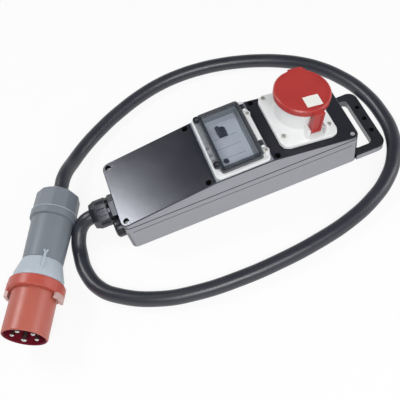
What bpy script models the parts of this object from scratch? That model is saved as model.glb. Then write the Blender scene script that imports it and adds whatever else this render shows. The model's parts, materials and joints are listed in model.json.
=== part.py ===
"""Portable power distribution box: a carried case with a breaker window, a socket and a plug on a cable.

Metres, +Z up. The origin is the middle of the case's underside, +X runs from the cable end to the handle end.
"""
import bmesh
import bpy
from math import atan2, cos, pi, radians, sin
from mathutils import Matrix, Vector

# Clearances
FIT = 0.0003
RUN = 0.0005

# Case
CASE_LENGTH = 0.360
CASE_WIDTH = 0.114
CASE_CORNER = 0.010
CASE_WALL = 0.0035
CASE_FLOOR = 0.0035
BASE_HEIGHT = 0.0578
COLLAR_HEIGHT = 0.011
COLLAR_STEP = 0.001
FOOT_CHAMFER = 0.0015

# Lid: three flats that rise from the cable end, run level under the window and fall to the handle end
GASKET_THICKNESS = 0.0012
GASKET_WIDTH = 0.0018
GASKET_INSET = 0.0012
LID_CREST_RISE = 0.0273
LID_CABLE_END_RISE = 0.0076
LID_HANDLE_END_RISE = 0.0026
LID_FLAT_START = -0.036
LID_FLAT_END = 0.049
LID_EDGE = 0.0012
LID_ROOF = 0.0035
LID_HOLLOW_END = 0.152

# Lid screws
SCREW_INSET = 0.0085
MID_SCREW_X = (-0.046, 0.057)
MID_SCREW_INSET = 0.0065
SCREW_HEAD_RADIUS = 0.0033
SCREW_HEAD_HEIGHT = 0.0021
SCREW_SHANK_RADIUS = 0.0018
SCREW_LENGTH = 0.015
SCREW_POST_RADIUS = 0.0055
SCREW_WELL_RADIUS = 0.0044
SCREW_SEAT = 0.0014
SCREW_SLOT = 0.0009
SCREW_CROWN = 0.0004
SCREW_TURN = radians(35)

# Handle
HANDLE_REACH = 0.0475
HANDLE_THICKNESS = 0.013
HANDLE_GRIP = 0.018
HANDLE_ARM = 0.013
HANDLE_CORNER = 0.014
HANDLE_GAP_CORNER = 0.007
HANDLE_EDGE = 0.0015
HANDLE_DIMPLE_RADIUS = 0.0036
HANDLE_DIMPLE_DEPTH = 0.006
HANDLE_DIMPLE_PITCH = 0.0235

# Cable and gland
CABLE_RADIUS = 0.011
GLAND_DROP = 0.0228
GLAND_THREAD_RADIUS = 0.016
GLAND_FLANGE_RADIUS = 0.0225
GLAND_FLANGE_LENGTH = 0.009
GLAND_NECK = 0.012
GLAND_CLAW_GAP = 0.0045
GLAND_NUT_RADIUS = 0.0215
GLAND_NUT_LENGTH = 0.0255
GLAND_SEAL_WALL = 0.002
GLAND_INNER_LENGTH = 0.012
LOCKNUT_THICKNESS = 0.005
BLANK_PLUG_INSET = 0.023
BLANK_PLUG_RADIUS = 0.014
BLANK_PLUG_HEAD = 0.012
BLANK_STEM_RADIUS = 0.0082
BLANK_STEM_LENGTH = 0.0065

# Window over the breaker
WINDOW_X = 0.0063
WINDOW_Y = 0.001
FRAME_LENGTH = 0.0805
FRAME_WIDTH = 0.112
FRAME_THICKNESS = 0.0045
FRAME_CORNER = 0.006
OPENING_X = 0.0065
OPENING_Y = 0.0035
OPENING_LENGTH = 0.053
OPENING_WIDTH = 0.094
COVER_X = 0.00675
COVER_Y = 0.0018
COVER_LENGTH = 0.0635
COVER_WIDTH = 0.105
COVER_HEIGHT = 0.0085
COVER_WALL = 0.0032
COVER_ROOF = 0.0025
COVER_CORNER = 0.005
COVER_HINGE_X = 0.0425
COVER_KNUCKLE_Y = (-0.029, 0.041)
COVER_KNUCKLE_WIDTH = 0.009
COVER_KNUCKLE_RADIUS = 0.0030
COVER_PIN_RADIUS = 0.0012
COVER_EAR = 0.0035
COVER_LEDGE_REACH = 0.0065
COVER_LEDGE_LIFT = 0.002
COVER_LEDGE_THICKNESS = 0.0025
COVER_BOSS_Y = (-0.0365, 0.048)
COVER_BOSS_RADIUS = 0.005
COVER_BOSS_RISE = 0.0075
HINGE_BAR_RISE = 0.0045
HINGE_BAR_INSET = 0.0067
LATCH_WIDTH = 0.026
LATCH_REACH = 0.0055
LATCH_Y = -0.0115
FRAME_SCREW_RADIUS = 0.0026
FRAME_SCREW_HEIGHT = 0.001
FRAME_SCREW_INSETS = (0.0049, 0.0022)
FRAME_BOSS_RADIUS = 0.0042

# Breaker on its rail
MODULE_WIDTH = 0.0178
BREAKER_MODULES = 4
BREAKER_START_Y = -0.0395
BREAKER_NOSE_X = 0.0065
BREAKER_NOSE_LENGTH = 0.046
BREAKER_BODY_LENGTH = 0.082
BREAKER_HEIGHT = 0.0602
BREAKER_NOSE_HEIGHT = 0.022
BREAKER_SINK = 0.0049
BLANK_END_GAP = 0.0027
RAIL_WIDTH = 0.035
RAIL_HEIGHT = 0.0075
RAIL_SHEET = 0.0012
RAIL_LIP = 0.0045
RAIL_END_GAP = 0.0035
TOGGLE_X = 0.0015
TOGGLE_MODULE = 3
TOGGLE_RADIUS = 0.0065
TOGGLE_WIDTH = 0.015
TOGGLE_SINK = 0.0015
TOGGLE_LEVER = 0.0055
TOGGLE_LEVER_THICKNESS = 0.005
TOGGLE_LEAN = radians(32)
BUTTON_X = -0.0105
BUTTON_Y = -0.026
BUTTON_RADIUS = 0.0036
BUTTON_RISE = 0.0018
BUTTON_WELL = 0.0085

# Socket on the falling flat
SOCKET_X = 0.109
SOCKET_Y = 0.0035
FLANGE_LENGTH = 0.087
FLANGE_WIDTH = 0.101
FLANGE_THICKNESS = 0.006
FLANGE_CORNER = 0.011
BARREL_RADIUS = 0.035
BARREL_BORE = 0.0323
BARREL_HEIGHT = 0.0505
BARREL_DEPTH = 0.026
BARREL_FOOT_RADIUS = 0.040
BARREL_FOOT_HEIGHT = 0.016
CARRIER_RADIUS = 0.0262
CARRIER_TOP = 0.041
CARRIER_FLOOR = 0.006
CONTACT_DEPTH = 0.0416
CONTACT_CIRCLE = 0.0175
CONTACT_RADIUS = 0.0041
CONTACT_BORE = 0.0032
EARTH_CONTACT_RADIUS = 0.0051
EARTH_CONTACT_BORE = 0.0042
SOCKET_LID_RADIUS = 0.0402
SOCKET_LID_WALL = 0.0020
SOCKET_LID_ROOF = 0.004
SOCKET_LID_SKIRT = 0.0025
SOCKET_LID_EDGE = 0.0018
LID_SEAL_THICKNESS = 0.0026
NOSE_OFFSET = 0.007
NOSE_WIDTH = 0.030
NOSE_REACH = 0.003
HINGE_OFFSET = 0.0050
HINGE_ARM_WIDTH = 0.015
HINGE_ARM_LAP = 0.0054
HINGE_BACK = 0.0418
HINGE_HEIGHT = 0.0195
HINGE_EYE = 0.0047
HINGE_PIN_RADIUS = 0.0018
HINGE_LUG = 0.0045
SPRING_WIRE_RADIUS = 0.0005
SPRING_RADIUS = 0.0033
SPRING_PITCH = 0.0016
SPRING_TURNS = 3
FLANGE_SCREW_X = 0.0350
FLANGE_SCREW_Y = (-0.031, 0.0435)
FLANGE_SCREW_HEIGHT = 0.0015
FLANGE_GASKET = 0.001

# Plug on the cable, lying on the ground
PLUG_MOUTH = (-0.3519, -0.1441)
PLUG_HEADING = radians(65.14)
SLEEVE_RADIUS = 0.0318
SLEEVE_BORE = 0.0280
SLEEVE_LENGTH = 0.0782
RING_START = 0.0615
RING_LENGTH = 0.016
RING_RADIUS = 0.0395
RING_LUG_REACH = 0.0085
RING_LUG_WIDTH = 0.026
RING_LUG_RISE = 0.0015
FRONT_LENGTH = 0.0305
FRONT_RADIUS = 0.036
WAIST_RADIUS = 0.0292
REAR_LENGTH = 0.067
REAR_RADIUS = 0.031
NUT_LENGTH = 0.050
NUT_FOOT_LENGTH = 0.020
NUT_FOOT_RADIUS = 0.0342
NUT_TOP_RADIUS = 0.0325
NUT_END_RADIUS = 0.024
PLUG_WALL = 0.0035
PIN_FACE = 0.048
PIN_CIRCLE = 0.0175
PIN_RADIUS = 0.0030
EARTH_PIN_RADIUS = 0.0040
PIN_TIP = 0.001
PIN_TURN = radians(-25)
PIN_COUNT = 5
CLIP_LENGTH = 0.024
CLIP_WIDTH = 0.0045
CLIP_THICKNESS = 0.003
CLIP_START = 0.097
CLIP_LIFT = 0.0042
CLIP_TURN = radians(33)

# Worked out from the sizes above
HALF_LENGTH = CASE_LENGTH / 2
HALF_WIDTH = CASE_WIDTH / 2
LID_BOTTOM = BASE_HEIGHT + GASKET_THICKNESS + 2 * FIT
LID_CREST = LID_BOTTOM + LID_CREST_RISE
FALL = (LID_CREST_RISE - LID_HANDLE_END_RISE) / (HALF_LENGTH - LID_FLAT_END)
RISE = (LID_CREST_RISE - LID_CABLE_END_RISE) / (HALF_LENGTH + LID_FLAT_START)
INNER_HALF_WIDTH = HALF_WIDTH - CASE_WALL - COLLAR_STEP
GLAND_HEIGHT = BASE_HEIGHT - GLAND_DROP
BLANK_PLUG_Y = BLANK_PLUG_INSET - HALF_WIDTH
SOCKET_TILT = atan2(FALL, 1.0)
COVER_BASE = LID_CREST + FIT + FRAME_THICKNESS + FIT
COVER_HINGE_Z = COVER_BASE + COVER_KNUCKLE_RADIUS + FIT
BREAKER_TOP = LID_CREST - BREAKER_SINK
BREAKER_SHOULDER = BREAKER_TOP - BREAKER_NOSE_HEIGHT
BREAKER_BOTTOM = BREAKER_TOP - BREAKER_HEIGHT
RAIL_BASE = BREAKER_BOTTOM - FIT - RAIL_HEIGHT
RAIL_LENGTH = 2 * (INNER_HALF_WIDTH - RAIL_END_GAP)
BREAKER_END_Y = BREAKER_START_Y + BREAKER_MODULES * MODULE_WIDTH
TOGGLE_Y = BREAKER_START_Y + (TOGGLE_MODULE + 0.5) * MODULE_WIDTH
TOGGLE_Z = BREAKER_TOP - TOGGLE_SINK
LID_UNDERSIDE = BARREL_HEIGHT + LID_SEAL_THICKNESS + 2 * FIT
SOCKET_LID_TOP = LID_UNDERSIDE + SOCKET_LID_ROOF
FRONT_START = SLEEVE_LENGTH + FIT
REAR_START = FRONT_START + FRONT_LENGTH + FIT
NUT_START = REAR_START + REAR_LENGTH + FIT
NUT_END = NUT_START + NUT_LENGTH

# The cable's centre line from the gland to the plug, as it lies on the ground
CABLE_LIE = CABLE_RADIUS + FIT
CABLE_ROUTE = (
    (-0.2385, -0.0030, 0.0285), (-0.2502, -0.0165, 0.0190), (-0.2558, -0.0430, CABLE_LIE),
    (-0.2537, -0.0740, CABLE_LIE), (-0.2420, -0.1020, CABLE_LIE), (-0.2190, -0.1240, CABLE_LIE),
    (-0.1670, -0.1510, CABLE_LIE), (-0.1120, -0.1635, CABLE_LIE), (-0.0540, -0.1675, CABLE_LIE),
    (0.0060, -0.1660, CABLE_LIE), (0.0690, -0.1590, CABLE_LIE), (0.1200, -0.1480, CABLE_LIE),
    (0.1640, -0.1310, CABLE_LIE), (0.1985, -0.1090, CABLE_LIE), (0.2235, -0.0820, CABLE_LIE),
    (0.2408, -0.0470, CABLE_LIE), (0.2465, 0.0000, CABLE_LIE), (0.2395, 0.0520, CABLE_LIE),
    (0.2234, 0.0910, CABLE_LIE), (0.2030, 0.1223, CABLE_LIE), (0.1790, 0.1472, CABLE_LIE),
    (0.1519, 0.1673, CABLE_LIE), (0.1226, 0.1838, CABLE_LIE), (0.0919, 0.1972, CABLE_LIE),
    (0.0593, 0.2078, CABLE_LIE), (0.0254, 0.2148, CABLE_LIE), (-0.0100, 0.2176, CABLE_LIE),
    (-0.0473, 0.2152, CABLE_LIE), (-0.0869, 0.2060, CABLE_LIE), (-0.1250, 0.1915, CABLE_LIE),
    (-0.1620, 0.1730, CABLE_LIE), (-0.1960, 0.1500, 0.0130), (-0.2225, 0.1235, 0.0185),
)
CABLE_STEP = 1.5 * 2 * CABLE_RADIUS

# Colours: name, base colour, roughness, metallic
FINISHES = {
    "case_black": ((0.030, 0.031, 0.034, 1), 0.45, 0),
    "gasket_black": ((0.012, 0.012, 0.013, 1), 0.7, 0),
    "gland_black": ((0.035, 0.036, 0.040, 1), 0.5, 0),
    "cable_rubber": ((0.030, 0.032, 0.034, 1), 0.55, 0),
    "steel": ((0.62, 0.63, 0.64, 1), 0.3, 1),
    "nickel": ((0.72, 0.72, 0.70, 1), 0.22, 1),
    "frame_white": ((0.76, 0.77, 0.78, 1), 0.4, 0),
    "clear_cover": ((0.62, 0.67, 0.71, 0.35), 0.1, 0),
    "breaker_grey": ((0.62, 0.65, 0.67, 1), 0.45, 0),
    "switch_dark": ((0.035, 0.038, 0.045, 1), 0.4, 0),
    "socket_white": ((0.80, 0.81, 0.82, 1), 0.4, 0),
    "carrier_grey": ((0.16, 0.17, 0.18, 1), 0.5, 0),
    "signal_red": ((0.50, 0.035, 0.030, 1), 0.38, 0),
    "plug_light_grey": ((0.46, 0.52, 0.57, 1), 0.42, 0),
    "plug_dark_grey": ((0.13, 0.15, 0.17, 1), 0.48, 0),
}


def clear_scene():
    for item in list(bpy.data.objects):
        bpy.data.objects.remove(item, do_unlink=True)


def finish(name):
    """The named material, made on first use."""
    found = bpy.data.materials.get(name)
    if found:
        return found
    colour, roughness, metallic = FINISHES[name]
    made = bpy.data.materials.new(name)
    made.use_nodes = True
    shader = made.node_tree.nodes["Principled BSDF"]
    shader.inputs["Base Color"].default_value = colour
    shader.inputs["Roughness"].default_value = roughness
    shader.inputs["Metallic"].default_value = metallic
    shader.inputs["Alpha"].default_value = colour[3]
    made.diffuse_color = colour
    return made


# Shapes: each function returns a closed bmesh

def rounded_rect(length, width, radius, x=0.0, y=0.0, steps=4):
    """A rectangle with round corners, anticlockwise, as plan points."""
    points = []
    for corner, (sx, sy) in enumerate(((1, 1), (-1, 1), (-1, -1), (1, -1))):
        cx = x + sx * (length / 2 - radius)
        cy = y + sy * (width / 2 - radius)
        for step in range(steps + 1):
            angle = corner * pi / 2 + step * pi / 2 / steps
            points.append((cx + radius * cos(angle), cy + radius * sin(angle)))
    return points


def loft(rings):
    """Joins rings of equal point counts, and closes the first and the last."""
    bm = bmesh.new()
    loops = [[bm.verts.new(point) for point in ring] for ring in rings]
    count = len(loops[0])
    for low, high in zip(loops, loops[1:]):
        for i in range(count):
            j = (i + 1) % count
            bm.faces.new((low[i], low[j], high[j], high[i]))
    bm.faces.new(reversed(loops[0]))
    bm.faces.new(loops[-1])
    return bm


def prism(outline, low, high):
    """A plan outline raised from one height to another."""
    return loft([[(x, y, z) for x, y in outline] for z in (low, high)])


def block(x0, x1, y0, y1, z0, z1):
    return prism(((x0, y0), (x1, y0), (x1, y1), (x0, y1)), z0, z1)


def turned(profile, segments=24):
    """Spins an outline of (radius, height) about Z. One that starts and ends on the axis is a full body."""
    bm = bmesh.new()
    on_axis = profile[0][0] == 0
    rings = []
    for radius, height in profile:
        if radius == 0:
            rings.append([bm.verts.new((0, 0, height))])
            continue
        angles = [2 * pi * i / segments for i in range(segments)]
        rings.append([bm.verts.new((radius * cos(a), radius * sin(a), height)) for a in angles])
    pairs = list(zip(rings, rings[1:]))
    if not on_axis:
        pairs.append((rings[-1], rings[0]))
    for low, high in pairs:
        for i in range(segments):
            j = (i + 1) % segments
            if len(low) == 1:
                bm.faces.new((low[0], high[j], high[i]))
            elif len(high) == 1:
                bm.faces.new((low[i], low[j], high[0]))
            else:
                bm.faces.new((low[i], low[j], high[j], high[i]))
    return bm


def rod(radius, low, high, segments=16, edge=0.0):
    """A round bar along Z, with chamfered ends where an edge is given."""
    ends = ((radius, low), (radius, high))
    if edge:
        ends = ((radius - edge, low), (radius, low + edge), (radius, high - edge), (radius - edge, high))
    return turned(((0, low), *ends, (0, high)), segments)


def tube(outer, inner, low, high, segments=24):
    return turned(((outer, low), (outer, high), (inner, high), (inner, low)), segments)


def arch(radius, depth, low, high, turn=0.0):
    """A plate along Z with one round end about the origin and straight sides that run back from it."""
    steps = 8
    outline = [(radius * cos(pi * i / steps), radius * sin(pi * i / steps)) for i in range(steps + 1)]
    outline += [(-radius, -depth), (radius, -depth)]
    return placed(prism(outline, low, high), Matrix.Rotation(turn, 4, "Z"))


def placed(bm, matrix):
    bm.transform(matrix)
    return bm


UPRIGHT = Matrix.Rotation(pi / 2, 4, "X")
ACROSS = Matrix(((0, 0, 1, 0), (1, 0, 0, 0), (0, 1, 0, 0), (0, 0, 0, 1)))


# Objects

def solid(name, bm, colour, parent=None, matrix=None):
    """Makes the bmesh a named object with its material."""
    bmesh.ops.recalc_face_normals(bm, faces=bm.faces)
    mesh = bpy.data.meshes.new(name)
    bm.to_mesh(mesh)
    bm.free()
    made = bpy.data.objects.new(name, mesh)
    bpy.context.scene.collection.objects.link(made)
    mesh.materials.append(finish(colour))
    if parent:
        made.parent = parent
    if matrix:
        made.matrix_basis = matrix
    return made


def combine(target, bm, operation):
    """Joins or cuts a bmesh, given in the target's own frame, into the target's mesh."""
    tool = solid("tool", bm, target.data.materials[0].name)
    kept = target.matrix_basis.copy(), target.parent
    target.parent = None
    target.matrix_basis = Matrix()
    step = target.modifiers.new("shape", "BOOLEAN")
    step.operation = operation
    step.solver = "EXACT"
    step.object = tool
    bpy.context.view_layer.update()
    shaped = bpy.data.meshes.new_from_object(target.evaluated_get(bpy.context.evaluated_depsgraph_get()))
    target.modifiers.remove(step)
    target.data = shaped
    bpy.data.objects.remove(tool, do_unlink=True)
    target.parent = kept[1]
    target.matrix_basis = kept[0]
    return target


def cut(target, *shapes):
    for bm in shapes:
        combine(target, bm, "DIFFERENCE")


def join(target, *shapes):
    for bm in shapes:
        combine(target, bm, "UNION")


def shade_all():
    """Round faces shade smooth, and edges past this angle stay crisp."""
    crisp = radians(35)
    for item in bpy.data.objects:
        if item.type == "MESH":
            item.data.shade_smooth()
            item.data.set_sharp_from_angle(angle=crisp)


def empty(name, matrix):
    made = bpy.data.objects.new(name, None)
    bpy.context.scene.collection.objects.link(made)
    made.matrix_basis = matrix
    return made


# Case

def lid_top(x):
    """Height of the lid's outer face."""
    if x < LID_FLAT_START:
        return LID_CREST - (LID_FLAT_START - x) * RISE
    if x > LID_FLAT_END:
        return LID_CREST - (x - LID_FLAT_END) * FALL
    return LID_CREST


def lid_screw_places():
    corner_x = HALF_LENGTH - SCREW_INSET
    corner_y = HALF_WIDTH - SCREW_INSET
    mid_y = HALF_WIDTH - MID_SCREW_INSET
    corners = [(sx * corner_x, sy * corner_y) for sx in (-1, 1) for sy in (-1, 1)]
    return corners + [(x, sy * mid_y) for x in MID_SCREW_X for sy in (-1, 1)]


def case_ring(inset, z, side=0.0):
    """The case's plan outline, drawn in all round and further in at the long sides."""
    radius = max(CASE_CORNER - inset - side, CASE_CORNER / 2)
    outline = rounded_rect(CASE_LENGTH - 2 * inset, CASE_WIDTH - 2 * (inset + side), radius)
    return [(x, y, z) for x, y in outline]


def handle_loop():
    """The flat carrying loop that continues the case's sides at ground level."""
    root = HALF_LENGTH - CASE_WALL / 2
    reach = HALF_LENGTH + HANDLE_REACH
    half = HALF_WIDTH - COLLAR_STEP

    steps = 6

    def ring(inset, z):
        near = (reach - inset, half - inset)
        radius = HANDLE_CORNER - inset
        points = [(root, -near[1]), (root, near[1])]
        for corner in (1, -1):
            centre = (near[0] - radius, corner * (near[1] - radius))
            for step in range(steps + 1):
                turn = step * pi / 2 / steps
                angle = pi / 2 - turn if corner > 0 else -turn
                points.append((centre[0] + radius * cos(angle), centre[1] + radius * sin(angle)))
        return [(x, y, z) for x, y in points]

    top = HANDLE_THICKNESS
    edge = HANDLE_EDGE
    return loft([ring(edge, 0), ring(0, edge), ring(0, top - edge), ring(edge, top)])


def make_base():
    collar_z = BASE_HEIGHT - COLLAR_HEIGHT
    base = solid("case_base", loft([
        case_ring(FOOT_CHAMFER, 0, COLLAR_STEP), case_ring(0, FOOT_CHAMFER, COLLAR_STEP),
        case_ring(0, collar_z - COLLAR_STEP, COLLAR_STEP), case_ring(0, collar_z), case_ring(0, BASE_HEIGHT),
        case_ring(CASE_WALL, BASE_HEIGHT, COLLAR_STEP), case_ring(CASE_WALL, CASE_FLOOR, COLLAR_STEP)]),
        "case_black")
    join(base, handle_loop())
    gap_x0 = HALF_LENGTH
    gap_x1 = HALF_LENGTH + HANDLE_REACH - HANDLE_GRIP
    gap = rounded_rect(gap_x1 - gap_x0, CASE_WIDTH - 2 * HANDLE_ARM, HANDLE_GAP_CORNER, (gap_x0 + gap_x1) / 2)
    cut(base, prism(gap, -FIT, HANDLE_THICKNESS + FIT))
    grip_x = HALF_LENGTH + HANDLE_REACH - HANDLE_GRIP / 2
    dimple_floor = HANDLE_THICKNESS - HANDLE_DIMPLE_DEPTH
    for place in (-1, 0, 1):
        dimple = rod(HANDLE_DIMPLE_RADIUS, dimple_floor, HANDLE_THICKNESS + FIT)
        cut(base, placed(dimple, Matrix.Translation((grip_x, place * HANDLE_DIMPLE_PITCH, 0))))
    post_floor = CASE_FLOOR / 2
    for x, y in lid_screw_places():
        post = rod(SCREW_POST_RADIUS, post_floor, BASE_HEIGHT)
        hole = rod(SCREW_SHANK_RADIUS + FIT, BASE_HEIGHT - SCREW_LENGTH, BASE_HEIGHT + FIT, 12)
        join(base, placed(post, Matrix.Translation((x, y, 0))))
        cut(base, placed(hole, Matrix.Translation((x, y, 0))))
    for sy in (-1, 1):
        y = sy * (RAIL_LENGTH / 2 - RAIL_LIP)
        join(base, block(BREAKER_NOSE_X - RAIL_WIDTH / 2, BREAKER_NOSE_X + RAIL_WIDTH / 2,
                         y - RAIL_LIP, y + RAIL_LIP, post_floor, RAIL_BASE - FIT))
    wall_cut = 2 * CASE_WALL
    gland_hole = rod(GLAND_THREAD_RADIUS + FIT, -wall_cut, wall_cut, 24)
    cut(base, placed(gland_hole, end_wall(0.0)))
    plug_hole = rod(BLANK_STEM_RADIUS + FIT, -BLANK_STEM_LENGTH - FIT, wall_cut, 24)
    cut(base, placed(plug_hole, end_wall(BLANK_PLUG_Y)))
    return base


def end_wall(y):
    """A frame on the cable end's outer wall, with its Z pointing out along the cable."""
    return Matrix.Translation((-HALF_LENGTH, y, GLAND_HEIGHT)) @ Matrix.Rotation(-pi / 2, 4, "Y")


def lid_ring(inset, drop, right_end):
    """The lid's plan outline with points on its two folds, at a depth under the outer face."""
    left = -HALF_LENGTH + inset
    right = right_end - inset
    half = HALF_WIDTH - inset
    radius = max(CASE_CORNER - inset, CASE_CORNER / 2)
    outline = rounded_rect(right - left, 2 * half, radius, (left + right) / 2)
    per_corner = len(outline) // 4
    folds = (LID_FLAT_END, LID_FLAT_START)
    first = outline[:per_corner] + [(x, half) for x in folds]
    second = outline[per_corner:3 * per_corner] + [(x, -half) for x in reversed(folds)]
    points = first + second + outline[3 * per_corner:]
    return [(x, y, lid_top(x) - drop if drop is not None else LID_BOTTOM) for x, y in points]


def lid_caps(bm, loop, per_corner):
    """Closes a lid loop with its three flats."""
    right_far, left_far = per_corner, per_corner + 1
    left_near = 3 * per_corner + 2
    right_near = left_near + 1
    bm.faces.new(loop[left_far:left_near + 1])
    bm.faces.new((loop[right_far], loop[left_far], loop[left_near], loop[right_near]))
    bm.faces.new(loop[right_near:] + loop[:right_far + 1])


def make_lid():
    inner = CASE_WALL + COLLAR_STEP
    rings = [lid_ring(inner, LID_ROOF, LID_HOLLOW_END + inner), lid_ring(inner, None, LID_HOLLOW_END + inner),
             lid_ring(0, None, HALF_LENGTH), lid_ring(0, LID_EDGE, HALF_LENGTH),
             lid_ring(LID_EDGE, 0, HALF_LENGTH)]
    bm = bmesh.new()
    loops = [[bm.verts.new(point) for point in ring] for ring in rings]
    count = len(loops[0])
    for low, high in zip(loops, loops[1:]):
        for i in range(count):
            j = (i + 1) % count
            bm.faces.new((low[i], low[j], high[j], high[i]))
    per_corner = (count - 4) // 4
    lid_caps(bm, loops[0], per_corner)
    lid_caps(bm, loops[-1], per_corner)
    lid = solid("case_lid", bm, "case_black")
    seat = LID_BOTTOM + SCREW_SEAT
    above = LID_CREST + CASE_WALL
    for x, y in lid_screw_places():
        spot = Matrix.Translation((x, y, 0))
        roof = lid_top(abs(x) + SCREW_POST_RADIUS if x > 0 else x - SCREW_POST_RADIUS) - LID_ROOF / 2
        if roof > seat:
            join(lid, placed(rod(SCREW_POST_RADIUS, LID_BOTTOM, roof), spot))
        cut(lid, placed(rod(SCREW_WELL_RADIUS, seat, above), spot))
        cut(lid, placed(rod(SCREW_SHANK_RADIUS + FIT, LID_BOTTOM - FIT, above, 12), spot))
    window = rounded_rect(OPENING_LENGTH, OPENING_WIDTH, CASE_WALL, OPENING_X, OPENING_Y)
    cut(lid, prism(window, LID_BOTTOM - FIT, above))
    mouth = rod(BARREL_BORE + SOCKET_LID_WALL + FIT, -2 * LID_ROOF, LID_ROOF, 32)
    cut(lid, placed(mouth, socket_frame()))
    return lid


def make_gasket():
    low, high = BASE_HEIGHT + FIT, BASE_HEIGHT + FIT + GASKET_THICKNESS
    inner = GASKET_INSET + GASKET_WIDTH
    outer = loft([case_ring(GASKET_INSET, low), case_ring(GASKET_INSET, high)])
    ring = solid("lid_gasket", outer, "gasket_black")
    hollow = prism([(x, y) for x, y, z in case_ring(inner, low)], low - FIT, high + FIT)
    cut(ring, hollow)


def screw(name, head_radius, head_height, shank_radius, length, parent, matrix):
    """A slotted screw with its head on top, seated at its own zero height."""
    crown = head_height - SCREW_CROWN
    profile = ((0, -length), (shank_radius / 2, -length), (shank_radius, -length + shank_radius),
               (shank_radius, 0), (head_radius, 0), (head_radius, crown),
               (head_radius - SCREW_CROWN, head_height), (0, head_height))
    made = solid(name, turned(profile, 12), "steel", parent, matrix)
    reach = head_radius - 2 * SCREW_CROWN
    slot = SCREW_SLOT / 2
    cut(made, block(-reach, reach, -slot, slot, head_height / 2, head_height + FIT))


def make_lid_screws():
    for number, (x, y) in enumerate(lid_screw_places(), 1):
        seat = LID_BOTTOM + SCREW_SEAT + FIT
        turn = Matrix.Rotation(number * SCREW_TURN, 4, "Z")
        screw(f"lid_screw_{number}", SCREW_HEAD_RADIUS, SCREW_HEAD_HEIGHT, SCREW_SHANK_RADIUS,
              SCREW_LENGTH, None, Matrix.Translation((x, y, seat)) @ turn)


# Cable gland and blanking plug

def make_gland():
    frame = empty("gland_frame", end_wall(0.0))
    bore = CABLE_RADIUS + FIT + GLAND_SEAL_WALL + FIT
    flange_end = FIT + GLAND_FLANGE_LENGTH
    neck_end = flange_end + GLAND_NECK
    body = solid("gland_body", turned((
        (0, FIT), (GLAND_FLANGE_RADIUS, FIT), (GLAND_FLANGE_RADIUS, flange_end), (0, flange_end)), 6),
        "gland_black", frame)
    join(body, rod(GLAND_THREAD_RADIUS, -GLAND_INNER_LENGTH, neck_end, 24))
    cut(body, rod(bore, -GLAND_INNER_LENGTH - FIT, neck_end + FIT, 24))
    nut_start = flange_end + GLAND_CLAW_GAP
    nut_end = nut_start + GLAND_NUT_LENGTH
    shoulder = nut_end - GLAND_NUT_LENGTH / 3
    nose = CABLE_RADIUS + 2 * CASE_WALL
    nut = solid("gland_nut", turned((
        (0, nut_start), (GLAND_NUT_RADIUS, nut_start), (GLAND_NUT_RADIUS, shoulder), (nose, nut_end),
        (0, nut_end)), 6), "gland_black", frame)
    cut(nut, rod(GLAND_THREAD_RADIUS + FIT, nut_start - FIT, neck_end + FIT, 24))
    cut(nut, rod(CABLE_RADIUS + FIT, nut_start, nut_end + FIT, 24))
    seal_low = flange_end / 2
    solid("gland_seal", tube(bore - FIT, CABLE_RADIUS + FIT, seal_low, neck_end), "cable_rubber", frame)
    nut_low = -CASE_WALL - FIT - LOCKNUT_THICKNESS
    locknut = solid("gland_locknut", turned((
        (0, nut_low), (GLAND_FLANGE_RADIUS, nut_low), (GLAND_FLANGE_RADIUS, nut_low + LOCKNUT_THICKNESS),
        (0, nut_low + LOCKNUT_THICKNESS)), 6), "gland_black", frame)
    cut(locknut, rod(GLAND_THREAD_RADIUS + FIT, nut_low - FIT, FIT, 24))
    return nut_end


def make_blank_plug():
    frame = empty("blank_plug_frame", end_wall(BLANK_PLUG_Y))
    top = FIT + BLANK_PLUG_HEAD
    dome = BLANK_PLUG_HEAD / 3
    solid("blanking_plug", turned((
        (0, -BLANK_STEM_LENGTH), (BLANK_STEM_RADIUS, -BLANK_STEM_LENGTH), (BLANK_STEM_RADIUS, FIT),
        (BLANK_PLUG_RADIUS, FIT), (BLANK_PLUG_RADIUS, top - dome),
        (BLANK_PLUG_RADIUS - dome / 3, top - dome / 3), (BLANK_PLUG_RADIUS - dome, top), (0, top))),
        "gland_black", frame)


# Window

def knuckle(radius, low, high):
    """A round hinge eye along Y."""
    return placed(rod(radius, low, high, 16), Matrix.Rotation(-pi / 2, 4, "X"))


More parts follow.
